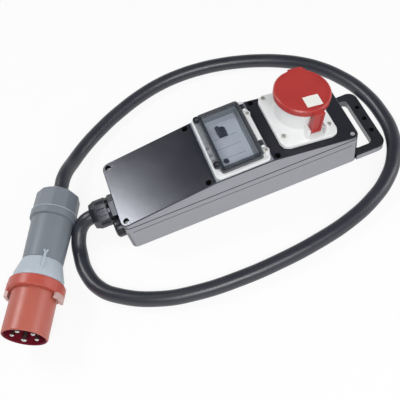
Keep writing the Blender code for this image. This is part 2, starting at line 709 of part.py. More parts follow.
def make_window():
    frame_low = LID_CREST + FIT
    frame_top = frame_low + FRAME_THICKNESS
    outline = rounded_rect(FRAME_LENGTH, FRAME_WIDTH, FRAME_CORNER, WINDOW_X, WINDOW_Y)
    edge = rounded_rect(FRAME_LENGTH - 2 * LID_EDGE, FRAME_WIDTH - 2 * LID_EDGE, FRAME_CORNER - LID_EDGE,
                        WINDOW_X, WINDOW_Y)
    window_frame = solid("window_frame", loft([
        [(x, y, frame_low) for x, y in outline], [(x, y, frame_top - LID_EDGE) for x, y in outline],
        [(x, y, frame_top) for x, y in edge]]), "frame_white")
    opening = rounded_rect(OPENING_LENGTH, OPENING_WIDTH, CASE_WALL, OPENING_X, OPENING_Y)
    cut(window_frame, prism(opening, frame_low - FIT, frame_top + FIT))
    hinge = Matrix.Translation((COVER_HINGE_X, 0, COVER_HINGE_Z))
    ear_start = COVER_KNUCKLE_WIDTH / 2 + FIT
    rim = WINDOW_X + FRAME_LENGTH / 2
    bar_top = frame_top + HINGE_BAR_RISE
    near, far = COVER_KNUCKLE_Y
    join(window_frame, block(rim - HINGE_BAR_INSET, rim, near + ear_start + COVER_EAR / 2,
                             far - ear_start - COVER_EAR / 2, frame_low + LID_EDGE, bar_top))
    for y in COVER_KNUCKLE_Y:
        for sy in (-1, 1):
            low, high = sorted((y + sy * ear_start, y + sy * (ear_start + COVER_EAR)))
            ear = arch(COVER_KNUCKLE_RADIUS, COVER_HINGE_Z - frame_top + LID_EDGE, -high, -low)
            join(window_frame, placed(ear, hinge @ UPRIGHT))
        reach = ear_start + COVER_EAR
        bore = knuckle(COVER_PIN_RADIUS + FIT, y - reach - FIT, y + reach + FIT)
        cut(window_frame, placed(bore, hinge))
    for number, (x, y) in enumerate(frame_screw_places(), 1):
        raised = x > WINDOW_X
        seat = bar_top if raised else frame_top
        spot = Matrix.Translation((x, y, 0))
        if raised:
            join(window_frame, placed(rod(FRAME_BOSS_RADIUS, frame_low + LID_EDGE, bar_top), spot))
        hole = rod(SCREW_SHANK_RADIUS + FIT, frame_low - LID_ROOF * 2, seat + FIT, 12)
        cut(window_frame, placed(hole, spot))
        turn = Matrix.Rotation(number * SCREW_TURN, 4, "Z")
        screw(f"window_screw_{number}", FRAME_SCREW_RADIUS, FRAME_SCREW_HEIGHT, SCREW_SHANK_RADIUS,
              FRAME_THICKNESS, None, Matrix.Translation((x, y, seat + FIT)) @ turn)
    make_cover(hinge)


def frame_screw_places():
    """Two screws under the cover's bosses and two on the hinge side's own bosses."""
    left = WINDOW_X - FRAME_LENGTH / 2 + FRAME_SCREW_INSETS[0]
    right = WINDOW_X + FRAME_LENGTH / 2 - FRAME_SCREW_INSETS[1]
    y0, y1 = COVER_KNUCKLE_Y
    beside = COVER_KNUCKLE_WIDTH / 2 + COVER_EAR + 2 * FRAME_SCREW_RADIUS
    return ((left, COVER_BOSS_Y[0]), (left, COVER_BOSS_Y[1]), (right, y0 - beside), (right, y1 - beside))


def make_cover(hinge):
    """The clear lid over the breaker: a shallow box, open below, on two eyes, with a latch on its ledge."""
    pivot = empty("cover_hinge", hinge)
    local = hinge.inverted()
    outer = rounded_rect(COVER_LENGTH, COVER_WIDTH, COVER_CORNER, COVER_X, COVER_Y)
    crown = rounded_rect(COVER_LENGTH - 2 * LID_EDGE, COVER_WIDTH - 2 * LID_EDGE, COVER_CORNER - LID_EDGE,
                         COVER_X, COVER_Y)
    inner = rounded_rect(COVER_LENGTH - 2 * COVER_WALL, COVER_WIDTH - 2 * COVER_WALL, COVER_CORNER - LID_EDGE,
                         COVER_X, COVER_Y)
    top = COVER_BASE + COVER_HEIGHT
    shell = loft([[(x, y, top - COVER_ROOF) for x, y in inner], [(x, y, COVER_BASE) for x, y in inner],
                  [(x, y, COVER_BASE) for x, y in outer], [(x, y, top - LID_EDGE) for x, y in outer],
                  [(x, y, top) for x, y in crown]])
    cover = solid("window_cover", placed(shell, local), "clear_cover", pivot)
    wall_x = COVER_X + COVER_LENGTH / 2
    half = COVER_KNUCKLE_WIDTH / 2
    for y in COVER_KNUCKLE_Y:
        reach = COVER_HINGE_X - wall_x + COVER_WALL / 2
        arm = arch(COVER_KNUCKLE_RADIUS, reach, -y - half, half - y, -pi / 2)
        join(cover, placed(arm, UPRIGHT))
        cut(cover, knuckle(COVER_PIN_RADIUS + FIT, y - half - FIT, y + half + FIT))
    latch_x = COVER_X - COVER_LENGTH / 2
    ledge_low = COVER_BASE + COVER_LEDGE_LIFT
    ledge_x = latch_x - COVER_LEDGE_REACH
    boss_x = ledge_x + COVER_BOSS_RADIUS
    near, far = COVER_BOSS_Y
    ledge = block(ledge_x + FIT, latch_x + COVER_WALL / 2, near, far, ledge_low,
                  ledge_low + COVER_LEDGE_THICKNESS)
    join(cover, placed(ledge, local))
    for y in COVER_BOSS_Y:
        boss = rod(COVER_BOSS_RADIUS, ledge_low, COVER_BASE + COVER_BOSS_RISE)
        join(cover, placed(boss, local @ Matrix.Translation((boss_x, y, 0))))
    latch = block(latch_x - LATCH_REACH, latch_x + COVER_WALL / 2, LATCH_Y - LATCH_WIDTH / 2,
                  LATCH_Y + LATCH_WIDTH / 2, COVER_BASE, COVER_BASE + COVER_ROOF)
    join(cover, placed(latch, local))
    pin_half = half + FIT + COVER_EAR
    for number, y in enumerate(COVER_KNUCKLE_Y, 1):
        solid(f"cover_hinge_pin_{number}", knuckle(COVER_PIN_RADIUS, y - pin_half, y + pin_half), "steel",
              None, hinge)


# Breaker

def make_breaker():
    half_rail = RAIL_WIDTH / 2
    inner = half_rail - RAIL_LIP
    top = RAIL_HEIGHT - RAIL_SHEET
    hat = ((-inner, 0), (inner, 0), (inner, top), (half_rail, top), (half_rail, RAIL_HEIGHT),
           (inner - RAIL_SHEET, RAIL_HEIGHT), (inner - RAIL_SHEET, RAIL_SHEET),
           (RAIL_SHEET - inner, RAIL_SHEET), (RAIL_SHEET - inner, RAIL_HEIGHT),
           (-half_rail, RAIL_HEIGHT), (-half_rail, top), (-inner, top))
    along_y = Matrix.Translation((BREAKER_NOSE_X, 0, RAIL_BASE)) @ UPRIGHT
    solid("mounting_rail", prism(hat, -RAIL_LENGTH / 2, RAIL_LENGTH / 2), "steel", None, along_y)
    nose_x0 = BREAKER_NOSE_X - BREAKER_NOSE_LENGTH / 2
    nose_x1 = BREAKER_NOSE_X + BREAKER_NOSE_LENGTH / 2
    body_x0 = BREAKER_NOSE_X - BREAKER_BODY_LENGTH / 2
    body_x1 = BREAKER_NOSE_X + BREAKER_BODY_LENGTH / 2
    shape = ((body_x0, BREAKER_BOTTOM), (body_x1, BREAKER_BOTTOM), (body_x1, BREAKER_SHOULDER),
             (nose_x1, BREAKER_SHOULDER), (nose_x1, BREAKER_TOP), (nose_x0, BREAKER_TOP),
             (nose_x0, BREAKER_SHOULDER), (body_x0, BREAKER_SHOULDER))
    across = placed(prism(shape, -BREAKER_END_Y, -BREAKER_START_Y), UPRIGHT)
    breaker = solid("breaker_body", across, "breaker_grey")
    well = knuckle(TOGGLE_RADIUS + RUN, TOGGLE_Y - TOGGLE_WIDTH / 2 - RUN, TOGGLE_Y + TOGGLE_WIDTH / 2 + RUN)
    cut(breaker, placed(well, Matrix.Translation((TOGGLE_X, 0, TOGGLE_Z))))
    spot = Matrix.Translation((BUTTON_X, BUTTON_Y, 0))
    cut(breaker, placed(rod(BUTTON_RADIUS + RUN, BREAKER_TOP - BUTTON_WELL, BREAKER_TOP + FIT), spot))
    toggle_axis = empty("toggle_axis", Matrix.Translation((TOGGLE_X, TOGGLE_Y, TOGGLE_Z)))
    half = TOGGLE_WIDTH / 2
    toggle = solid("breaker_toggle", knuckle(TOGGLE_RADIUS, -half, half), "switch_dark", toggle_axis)
    lever_half = TOGGLE_LEVER_THICKNESS / 2
    lever = block(-lever_half, lever_half, -half, half, 0, TOGGLE_RADIUS + TOGGLE_LEVER)
    join(toggle, placed(lever, Matrix.Rotation(-TOGGLE_LEAN, 4, "Y")))
    button_low = BUTTON_RISE + RUN - BUTTON_WELL
    solid("test_button", rod(BUTTON_RADIUS, button_low, BUTTON_RISE, 16, FIT), "switch_dark", None,
          Matrix.Translation((BUTTON_X, BUTTON_Y, BREAKER_TOP)))
    blank_y0 = BREAKER_END_Y + FIT
    blank_y1 = INNER_HALF_WIDTH - BLANK_END_GAP
    strip = block(nose_x0, nose_x1, blank_y0, blank_y1, BREAKER_BOTTOM, BREAKER_TOP - RUN)
    blank = solid("blank_module", strip, "breaker_grey")
    rib_y = (blank_y0 + blank_y1) / 2
    join(blank, block(nose_x0 + CASE_WALL, nose_x1 - CASE_WALL, rib_y - LID_EDGE, rib_y + LID_EDGE,
                      BREAKER_TOP - CASE_WALL, BREAKER_TOP + LID_EDGE))


# Socket

def socket_frame():
    """On the falling flat, with its Z square to that flat."""
    place = Matrix.Translation((SOCKET_X, SOCKET_Y, lid_top(SOCKET_X)))
    return place @ Matrix.Rotation(SOCKET_TILT, 4, "Y")


def contact_angles(mirror):
    """Five poles evenly round the circle, the earth first at the near side."""
    return [-pi / 2 + mirror * i * 2 * pi / PIN_COUNT for i in range(PIN_COUNT)]


def make_socket():
    frame = empty("socket_frame", socket_frame())
    gasket_top = FIT + FLANGE_GASKET
    low = gasket_top + FIT
    top = low + FLANGE_THICKNESS
    outline = rounded_rect(FLANGE_LENGTH, FLANGE_WIDTH, FLANGE_CORNER, steps=2)
    edge = rounded_rect(FLANGE_LENGTH - 2 * LID_EDGE, FLANGE_WIDTH - 2 * LID_EDGE, FLANGE_CORNER - LID_EDGE,
                        steps=2)
    housing = solid("socket_housing", loft([
        [(x, y, low) for x, y in outline], [(x, y, top - LID_EDGE) for x, y in outline],
        [(x, y, top) for x, y in edge]]), "socket_white", frame)
    neck = BARREL_BORE + SOCKET_LID_WALL
    join(housing, turned((
        (0, -BARREL_DEPTH), (neck, -BARREL_DEPTH), (neck, low), (BARREL_FOOT_RADIUS, low),
        (BARREL_FOOT_RADIUS, top), (BARREL_RADIUS, BARREL_FOOT_HEIGHT), (BARREL_RADIUS, BARREL_HEIGHT),
        (0, BARREL_HEIGHT)), 32))
    lug_half = HINGE_ARM_WIDTH / 2
    spring_room = SPRING_TURNS * SPRING_PITCH + 4 * SPRING_WIRE_RADIUS + 2 * RUN
    lugs = ((HINGE_OFFSET - lug_half - RUN - HINGE_LUG, HINGE_OFFSET - lug_half - RUN),
            (HINGE_OFFSET + lug_half + spring_room, HINGE_OFFSET + lug_half + spring_room + HINGE_LUG))
    for x0, x1 in lugs:
        join(housing, block(x0, x1, -HINGE_BACK - HINGE_EYE, -HINGE_BACK + HINGE_EYE + HINGE_LUG,
                            top - LID_EDGE, HINGE_HEIGHT + HINGE_EYE))
    cut(housing, rod(BARREL_BORE, -BARREL_DEPTH - FIT, BARREL_HEIGHT + FIT, 32))
    along_x = Matrix.Translation((0, -HINGE_BACK, HINGE_HEIGHT)) @ Matrix.Rotation(pi / 2, 4, "Y")
    pin_low, pin_high = lugs[0][0], lugs[1][1]
    cut(housing, placed(rod(HINGE_PIN_RADIUS + FIT, pin_low - FIT, pin_high + FIT, 12), along_x))
    solid("socket_hinge_pin", rod(HINGE_PIN_RADIUS, pin_low, pin_high, 12), "steel", frame, along_x)
    screws = [(sx * FLANGE_SCREW_X, y) for sx in (-1, 1) for y in FLANGE_SCREW_Y]
    for number, (x, y) in enumerate(screws, 1):
        spot = Matrix.Translation((x, y, top + FIT))
        cut(housing, placed(rod(SCREW_SHANK_RADIUS + FIT, -FLANGE_THICKNESS - 2 * FIT, FIT, 12), spot))
        screw(f"socket_screw_{number}", SCREW_HEAD_RADIUS, FLANGE_SCREW_HEIGHT, SCREW_SHANK_RADIUS,
              FLANGE_THICKNESS, frame, spot @ Matrix.Rotation(number * SCREW_TURN, 4, "Z"))
    sheet = rounded_rect(FLANGE_LENGTH - 2 * LID_EDGE, FLANGE_WIDTH - 2 * LID_EDGE, FLANGE_CORNER, steps=2)
    seal = solid("socket_gasket", prism(sheet, FIT, gasket_top), "gasket_black", frame)
    cut(seal, rod(neck + FIT, -FIT, gasket_top + FIT, 32))
    make_carrier(frame)
    make_socket_lid(frame, lug_half)


def make_carrier(frame):
    """The moulding that holds the five contact tubes, with the ring gap that the plug's sleeve enters."""
    rim = BARREL_BORE - FIT
    carrier = solid("contact_carrier", turned((
        (0, -BARREL_DEPTH), (rim, -BARREL_DEPTH), (rim, CARRIER_FLOOR), (CARRIER_RADIUS, CARRIER_FLOOR),
        (CARRIER_RADIUS, CARRIER_TOP - LID_EDGE), (CARRIER_RADIUS - LID_EDGE, CARRIER_TOP),
        (0, CARRIER_TOP)), 32), "carrier_grey", frame)
    depth = CARRIER_TOP - CONTACT_DEPTH
    for number, angle in enumerate(contact_angles(1), 1):
        radius = EARTH_CONTACT_RADIUS if number == 1 else CONTACT_RADIUS
        bore = EARTH_CONTACT_BORE if number == 1 else CONTACT_BORE
        spot = Matrix.Translation((CONTACT_CIRCLE * cos(angle), CONTACT_CIRCLE * sin(angle), 0))
        cut(carrier, placed(rod(radius + FIT, depth - FIT, CARRIER_TOP + FIT, 12), spot))
        sleeve = tube(radius, bore, depth, CARRIER_TOP - LID_EDGE, 12)
        solid(f"contact_tube_{number}", sleeve, "nickel", frame, spot)


def make_socket_lid(frame, arm_half):
    """The red sprung lid: a shallow cap, an opening nose on the far side and an arm down to the low hinge."""
    axis = Matrix.Translation((0, -HINGE_BACK, HINGE_HEIGHT))
    pivot = empty("socket_lid_hinge", axis)
    pivot.parent = frame
    local = axis.inverted()
    skirt = BARREL_HEIGHT - SOCKET_LID_SKIRT
    inner = SOCKET_LID_RADIUS - SOCKET_LID_WALL
    lid = solid("socket_lid", placed(turned((
        (0, LID_UNDERSIDE), (inner, LID_UNDERSIDE), (inner, skirt), (SOCKET_LID_RADIUS, skirt),
        (SOCKET_LID_RADIUS, SOCKET_LID_TOP - SOCKET_LID_EDGE),
        (SOCKET_LID_RADIUS - SOCKET_LID_EDGE, SOCKET_LID_TOP), (0, SOCKET_LID_TOP)), 40), local),
        "signal_red", pivot)
    far = SOCKET_LID_RADIUS + NOSE_REACH
    near = SOCKET_LID_RADIUS - SOCKET_LID_WALL - NOSE_REACH
    nose = [(NOSE_OFFSET + share * NOSE_WIDTH, y) for share, y in
            ((-1 / 2, near), (1 / 2, near), (1 / 3, far), (-1 / 3, far))]
    join(lid, placed(prism(nose, LID_UNDERSIDE, SOCKET_LID_TOP - SOCKET_LID_EDGE), local))
    x0, x1 = HINGE_OFFSET - arm_half, HINGE_OFFSET + arm_half
    arm_top = SOCKET_LID_TOP - SOCKET_LID_EDGE - FIT
    join(lid, placed(arch(HINGE_EYE, arm_top - HINGE_HEIGHT, x0, x1, pi), ACROSS))
    bridge = HINGE_ARM_LAP - SOCKET_LID_RADIUS
    link = block(x0 + FIT, x1 - FIT, -HINGE_BACK, bridge, LID_UNDERSIDE + FIT, arm_top - FIT)
    join(lid, placed(link, local))
    eye = Matrix.Rotation(pi / 2, 4, "Y")
    cut(lid, placed(rod(HINGE_PIN_RADIUS + FIT, x0 - FIT, x1 + FIT, 12), eye))
    seal_low = BARREL_HEIGHT + FIT
    seal = tube(BARREL_RADIUS, BARREL_BORE, seal_low, seal_low + LID_SEAL_THICKNESS, 32)
    solid("socket_lid_seal", placed(seal, local), "gasket_black", pivot)
    spring_points = []
    steps = 8
    start = x1 + RUN + 2 * SPRING_WIRE_RADIUS
    for i in range(SPRING_TURNS * steps + 1):
        angle = 2 * pi * i / steps
        x = start + SPRING_PITCH * i / steps
        spring_points.append(Vector((x, SPRING_RADIUS * cos(angle), SPRING_RADIUS * sin(angle))))
    gaps = [(a - b).length for n, a in enumerate(spring_points) for b in spring_points[n + steps // 2:]]
    print("lid spring: least gap to itself", round(min(gaps) - 2 * SPRING_WIRE_RADIUS, 5))
    tube_object("lid_spring", spring_points, SPRING_WIRE_RADIUS, 1, "steel", frame,
                Matrix.Translation((0, -HINGE_BACK, HINGE_HEIGHT)))


# Plug

def plug_matrix():
    """At the plug's mouth, with Z along it to its cable nut. It rests on its ring and its nut's foot."""
    ring_at = RING_START + RING_LENGTH / 2
    foot_at = NUT_START + NUT_FOOT_LENGTH / 2
    drop = atan2(RING_RADIUS - NUT_FOOT_RADIUS, foot_at - ring_at)
    height = RING_RADIUS / cos(drop) + ring_at * sin(drop) + 2 * FIT
    turn = Matrix.Rotation(PLUG_HEADING, 4, "Z") @ Matrix.Rotation(pi / 2 + drop, 4, "Y")
    return Matrix.Translation((PLUG_MOUTH[0], PLUG_MOUTH[1], height)) @ turn


def make_plug():
    frame = empty("plug_frame", plug_matrix())
    solid("plug_sleeve", turned((
        (SLEEVE_RADIUS - LID_EDGE, 0), (SLEEVE_RADIUS, LID_EDGE), (SLEEVE_RADIUS, SLEEVE_LENGTH),
        (SLEEVE_BORE, SLEEVE_LENGTH), (SLEEVE_BORE, LID_EDGE), (SLEEVE_BORE + LID_EDGE, 0)), 32),
        "signal_red", frame)
    ring_end = RING_START + RING_LENGTH
    bore = SLEEVE_RADIUS + RUN
    ring = solid("plug_ring", turned((
        (RING_RADIUS - LID_EDGE, RING_START), (RING_RADIUS, RING_START + LID_EDGE),
        (RING_RADIUS, ring_end - LID_EDGE), (RING_RADIUS - LID_EDGE, ring_end), (bore, ring_end),
        (bore, RING_START)), 32), "signal_red", frame)
    lug_outer = RING_RADIUS + RING_LUG_RISE
    for sy in (-1, 1):
        band = tube(lug_outer, RING_RADIUS - PLUG_WALL, RING_START - RING_LUG_REACH, ring_end - PLUG_WALL, 32)
        limit = block(-RING_LUG_WIDTH / 2, RING_LUG_WIDTH / 2, 0, sy * 2 * RING_RADIUS,
                      RING_START - 2 * RING_LUG_REACH, ring_end)
        lug = solid("lug", band, "signal_red")
        combine(lug, limit, "INTERSECT")
        made = bmesh.new()
        made.from_mesh(lug.data)
        bpy.data.objects.remove(lug, do_unlink=True)
        join(ring, made)
    front_end = FRONT_START + FRONT_LENGTH
    shoulder = FRONT_START + FRONT_LENGTH / 4
    solid("plug_front", turned((
        (FRONT_RADIUS, FRONT_START), (FRONT_RADIUS, shoulder), (WAIST_RADIUS, front_end),
        (WAIST_RADIUS - PLUG_WALL, front_end), (SLEEVE_BORE, shoulder), (SLEEVE_BORE, FRONT_START)), 32),
        "plug_light_grey", frame)
    rear_end = REAR_START + REAR_LENGTH
    solid("plug_rear", turned((
        (WAIST_RADIUS, REAR_START), (REAR_RADIUS, rear_end), (REAR_RADIUS - PLUG_WALL, rear_end),
        (WAIST_RADIUS - PLUG_WALL, REAR_START)), 32), "plug_dark_grey", frame)
    foot_end = NUT_START + NUT_FOOT_LENGTH
    shoulder = NUT_END - NUT_LENGTH / 8
    cap = NUT_END - PLUG_WALL
    solid("plug_nut", turned((
        (REAR_RADIUS, NUT_START), (NUT_FOOT_RADIUS, NUT_START + LID_EDGE), (NUT_FOOT_RADIUS, foot_end),
        (NUT_TOP_RADIUS, foot_end + LID_EDGE), (NUT_TOP_RADIUS, shoulder), (NUT_END_RADIUS, NUT_END),
        (CABLE_RADIUS + FIT, NUT_END), (CABLE_RADIUS + FIT, cap),
        (REAR_RADIUS - PLUG_WALL, shoulder - PLUG_WALL), (REAR_RADIUS - PLUG_WALL, NUT_START)), 32),
        "plug_dark_grey", frame)
    make_pins(frame)
    clip_radius = WAIST_RADIUS + CLIP_LIFT + CLIP_THICKNESS
    turn = Matrix.Rotation(CLIP_TURN, 4, "Z")
    clip = solid("plug_lock_clip", placed(block(
        -clip_radius, -clip_radius + CLIP_THICKNESS, -CLIP_WIDTH / 2, CLIP_WIDTH / 2,
        CLIP_START, CLIP_START + CLIP_LENGTH), turn), "plug_light_grey", frame)
    join(clip, placed(block(-clip_radius, -WAIST_RADIUS - FIT, -CLIP_WIDTH / 2, CLIP_WIDTH / 2,
                            front_end, front_end + PLUG_WALL), turn))


def make_pins(frame):
    core = rod(SLEEVE_BORE - FIT, PIN_FACE, FRONT_START + PLUG_WALL, 32)
    carrier = solid("pin_carrier", core, "signal_red", frame)
    root = FRONT_START
    for number, angle in enumerate(contact_angles(-1), 1):
        radius = EARTH_PIN_RADIUS if number == 1 else PIN_RADIUS
        turned_angle = angle - pi / 2 + PIN_TURN
        spot = Matrix.Translation((-PIN_CIRCLE * cos(turned_angle), PIN_CIRCLE * sin(turned_angle), 0))
        cut(carrier, placed(rod(radius + FIT, PIN_FACE - FIT, root + FIT, 12), spot))
        solid(f"plug_pin_{number}", rod(radius, PIN_TIP, root, 12, LID_EDGE), "nickel", frame, spot)


# Cable

def smooth_route(points, step):
    """Reads points at an even step from a smooth curve through the given ones, both end pieces straight."""
    fine = 16
    line = []
    for before, a, b, after in zip(points, points[1:], points[2:], points[3:]):
        for n in range(fine):
            t = n / fine
            line.append(0.5 * (2 * a + (b - before) * t + (2 * before - 5 * a + 4 * b - after) * t ** 2
                               + (3 * a - before - 3 * b + after) * t ** 3))
    line.append(points[-2])
    lengths = [0.0]
    for a, b in zip(line, line[1:]):
        lengths.append(lengths[-1] + (b - a).length)
    count = round(lengths[-1] / step)
    even = []
    at = 0
    for n in range(count + 1):
        target = lengths[-1] * n / count
        while at < len(lengths) - 2 and lengths[at + 1] < target:
            at += 1
        share = (target - lengths[at]) / (lengths[at + 1] - lengths[at])
        even.append(line[at].lerp(line[at + 1], share))
    ends = (points[1] - points[0]).length + (points[-1] - points[-2]).length
    return [points[0], *even, points[-1]], lengths[-1] + ends


def tube_object(name, points, radius, resolution, colour, parent=None, matrix=None):
    """A round tube along the points, with closed ends."""
    curve = bpy.data.curves.new(name, "CURVE")
    curve.dimensions = "3D"
    curve.bevel_depth = radius
    curve.bevel_resolution = resolution
    curve.use_fill_caps = True
    spline = curve.splines.new("POLY")
    spline.points.add(len(points) - 1)
    for spot, point in zip(spline.points, points):
        spot.co = (*point, 1)
    made = bpy.data.objects.new(name, curve)
    bpy.context.scene.collection.objects.link(made)
    curve.materials.append(finish(colour))
    if parent:
        made.parent = parent
    if matrix:
        made.matrix_basis = matrix
    return made


def make_cable(gland_nut_end):
    entry = GLAND_NUT_LENGTH / 3
    straight = CABLE_RADIUS / 2
    mouth = -HALF_LENGTH - gland_nut_end
    start = [Vector((mouth + entry, 0, GLAND_HEIGHT)), Vector((mouth - straight, 0, GLAND_HEIGHT))]
    plug = plug_matrix()
    end = [plug @ Vector((0, 0, NUT_END + 3 * CABLE_RADIUS)), plug @ Vector((0, 0, NUT_END + straight)),
           plug @ Vector((0, 0, NUT_END - FIT))]
    points, length = smooth_route(start + [Vector(point) for point in CABLE_ROUTE] + end, CABLE_STEP)
    print("cable length", round(length, 4))
    tube_object("supply_cable", points, CABLE_RADIUS, 4, "cable_rubber")


def main():
    clear_scene()
    make_base()
    make_lid()
    make_gasket()
    make_lid_screws()
    gland_nut_end = make_gland()
    make_blank_plug()
    make_window()
    make_breaker()
    make_socket()
    make_plug()
    make_cable(gland_nut_end)
    shade_all()


main()
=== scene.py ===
# %% [markdown]
# # A portable power distribution box
# The solids of the box are loaded as a fixed frame, in metres, with +Z up and +X from the cable end to
# the handle end. This lesson dresses them: each cell makes one piece or one finish. Nothing here moves or
# resizes a solid. Where a surface needs more than its solid has, a finer piece takes the solid's place.

# %% Load the frame
import json
from math import atan2, pi, radians

import bpy
from mathutils import Matrix, Vector

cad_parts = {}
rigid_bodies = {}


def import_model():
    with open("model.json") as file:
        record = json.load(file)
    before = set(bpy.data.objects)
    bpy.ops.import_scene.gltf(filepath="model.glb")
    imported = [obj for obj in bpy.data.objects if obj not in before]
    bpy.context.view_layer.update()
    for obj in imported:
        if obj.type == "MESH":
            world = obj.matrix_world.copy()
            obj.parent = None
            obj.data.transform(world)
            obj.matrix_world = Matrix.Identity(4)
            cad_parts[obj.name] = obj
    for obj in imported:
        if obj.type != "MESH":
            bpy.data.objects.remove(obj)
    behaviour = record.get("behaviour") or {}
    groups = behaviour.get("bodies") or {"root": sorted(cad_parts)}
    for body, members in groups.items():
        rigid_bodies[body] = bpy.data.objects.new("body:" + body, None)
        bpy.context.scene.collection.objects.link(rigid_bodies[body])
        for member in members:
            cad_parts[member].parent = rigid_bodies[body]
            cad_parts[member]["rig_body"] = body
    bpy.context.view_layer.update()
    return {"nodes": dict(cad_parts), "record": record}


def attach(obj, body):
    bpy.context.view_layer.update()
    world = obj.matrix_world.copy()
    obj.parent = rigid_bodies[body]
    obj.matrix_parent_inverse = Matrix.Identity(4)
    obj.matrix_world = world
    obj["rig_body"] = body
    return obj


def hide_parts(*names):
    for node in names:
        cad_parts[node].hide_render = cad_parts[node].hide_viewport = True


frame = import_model()
nodes = frame["nodes"]
slot_of = {part["node"]: part["material_slot"] for part in frame["record"]["subparts"]}

# %% [markdown]
# ## Camera
# The box was photographed from above its near side, with the camera rolled so that the case climbs to the
# right. A camera could be turned by three angles, but an aim point on the floor and a roll are easier to
# read and to change, so the turn is worked out from those.

# %% Camera
CAMERA_PLACE = Vector((-0.10393, -0.50624, 0.81011))
CAMERA_AIM = Vector((-0.06169, -0.01984, 0.0))
CAMERA_ROLL = radians(-17.383)
LENS = 56.21
SENSOR_WIDTH = 36
NEAREST_SEEN = 0.01

lens = bpy.data.cameras.new("camera")
lens.lens = LENS
lens.sensor_width = SENSOR_WIDTH
lens.clip_start = NEAREST_SEEN
camera = bpy.data.objects.new("camera", lens)
bpy.context.scene.collection.objects.link(camera)
look = (CAMERA_AIM - CAMERA_PLACE).to_track_quat("-Z", "Y").to_matrix().to_4x4()
camera.matrix_world = Matrix.Translation(CAMERA_PLACE) @ look @ Matrix.Rotation(CAMERA_ROLL, 4, "Z")
bpy.context.scene.camera = camera
bpy.context.scene.view_settings.view_transform = "Standard"
print("camera", round((CAMERA_AIM - CAMERA_PLACE).length, 3), "m from its aim")

# %% [markdown]
# ## Shader sums as plain maths
# A finish is a small calculation on each point of a surface. Nodes could be joined one by one, but a sum
# then takes many lines. One class wraps a socket, so that sums are written as Python expressions.

# %% Shader sums


class Value:
    """One output in a node tree. Sums and products with it add Math nodes."""

    def __init__(self, tree, socket):
        self.tree = tree
        self.socket = socket

    def math(self, operation, first, second):
        node = self.tree.nodes.new("ShaderNodeMath")
        node.operation = operation
        feed(node.inputs[0], first)
        feed(node.inputs[1], second)
        return Value(self.tree, node.outputs[0])

    def __add__(self, other):
        return self.math("ADD", self, other)

    def __radd__(self, other):
        return self.math("ADD", other, self)

    def __sub__(self, other):
        return self.math("SUBTRACT", self, other)

    def __rsub__(self, other):
        return self.math("SUBTRACT", other, self)

    def __mul__(self, other):
        return self.math("MULTIPLY", self, other)

    def __rmul__(self, other):
        return self.math("MULTIPLY", other, self)


def feed(socket, item):
    """Links a value to a socket, or sets the socket where the item is a plain number or colour."""
    if isinstance(item, Value):
        item.tree.links.new(item.socket, socket)
    else:
        socket.default_value = item


print("shader sums ready")

# %% [markdown]
# ## Node trees
# Every other node comes from one method, which takes the node's kind, its settings and what its sockets
# are fed. The sky and the materials all hold a tree of nodes, so the method belongs to a tree.

# %% Node trees


class Tree:
    """A tree of nodes, with one method that adds any node."""

    def __init__(self, tree):
        self.tree = tree

    def node(self, kind, sockets=(), output=0, stops=(), **settings):
        """Adds a node: its settings and a ramp's stops are set first, and then its sockets are fed."""
        made = self.tree.nodes.new("ShaderNode" + kind)
        for key, value in settings.items():
            setattr(made, key, value)
        for element, (position, colour) in zip(made.color_ramp.elements if stops else (), stops):
            element.position = position
            element.color = colour
        for key, item in dict(sockets).items():
            feed(made.inputs[key], item)
        return Value(self.tree, made.outputs[output])


print("node trees ready")

# %% [markdown]
# ## Finishes
# A finish is a material whose tree ends in a Principled shader, which can be plastic, rubber, metal or
# clear. A pattern could be laid on by a flat map of each piece. Noise that reads Object coordinates needs
# no map and keeps its real size on every piece.

# %% Finishes
WHITE = (1, 1, 1)


def tone(colour, share=1.0):
    """A share of a colour, as a socket takes it."""
    return tuple(channel * share for channel in colour) + (1,)


class Finish(Tree):
    """A material with one Principled shader."""

    def __init__(self, name):
        self.material = bpy.data.materials.new(name)
        self.material.use_nodes = True
        super().__init__(self.material.node_tree)
        self.shader = self.tree.nodes["Principled BSDF"]

    def noise(self, scale, detail):
        """Cloudy variation from 0 to 1, with scale in lumps per metre."""
        place = self.node("TexCoord", output="Object")
        return self.node("TexNoise", {"Vector": place, "Scale": scale, "Detail": detail})

    def ramp(self, value, low, high):
        """0 below the low value, 1 above the high one."""
        return self.node("ValToRGB", {"Fac": value}, stops=((low, tone(WHITE, 0)), (high, tone(WHITE))))

    def blend(self, factor, first, second):
        """A mix of two colours, which a Mix node takes at its sockets 6 and 7 and gives at its output 2."""
        return self.node("Mix", {0: factor, 6: first, 7: second}, output=2, data_type="RGBA")

    def bump(self, height, strength, distance):
        return self.node("Bump", {"Height": height, "Strength": strength, "Distance": distance})

    def set(self, **sockets):
        """Feeds the shader's sockets, which are named as in base_color, and gives the material."""
        for key, item in sockets.items():
            feed(self.shader.inputs[key.replace("_", " ").title().replace("Ior", "IOR")], item)
        return self.material


print("finishes ready")

# %% [markdown]
# ## The floor
# The box lies on a white table in a studio. More light could make the table white, but it would bleach the
# box too. So the floor mixes its own white with a little of what falls on it, for the rays that are seen
# directly, in a gloss or through the clear cover: it is white and still keeps the shadow.

# %% The floor
FLOOR_SIZE = 8.0
FLOOR_WHITE = 0.86
FLOOR_GLOW = 0.88
FLOOR_ROUGHNESS = 0.9
FLOOR_SHINE = 0.1


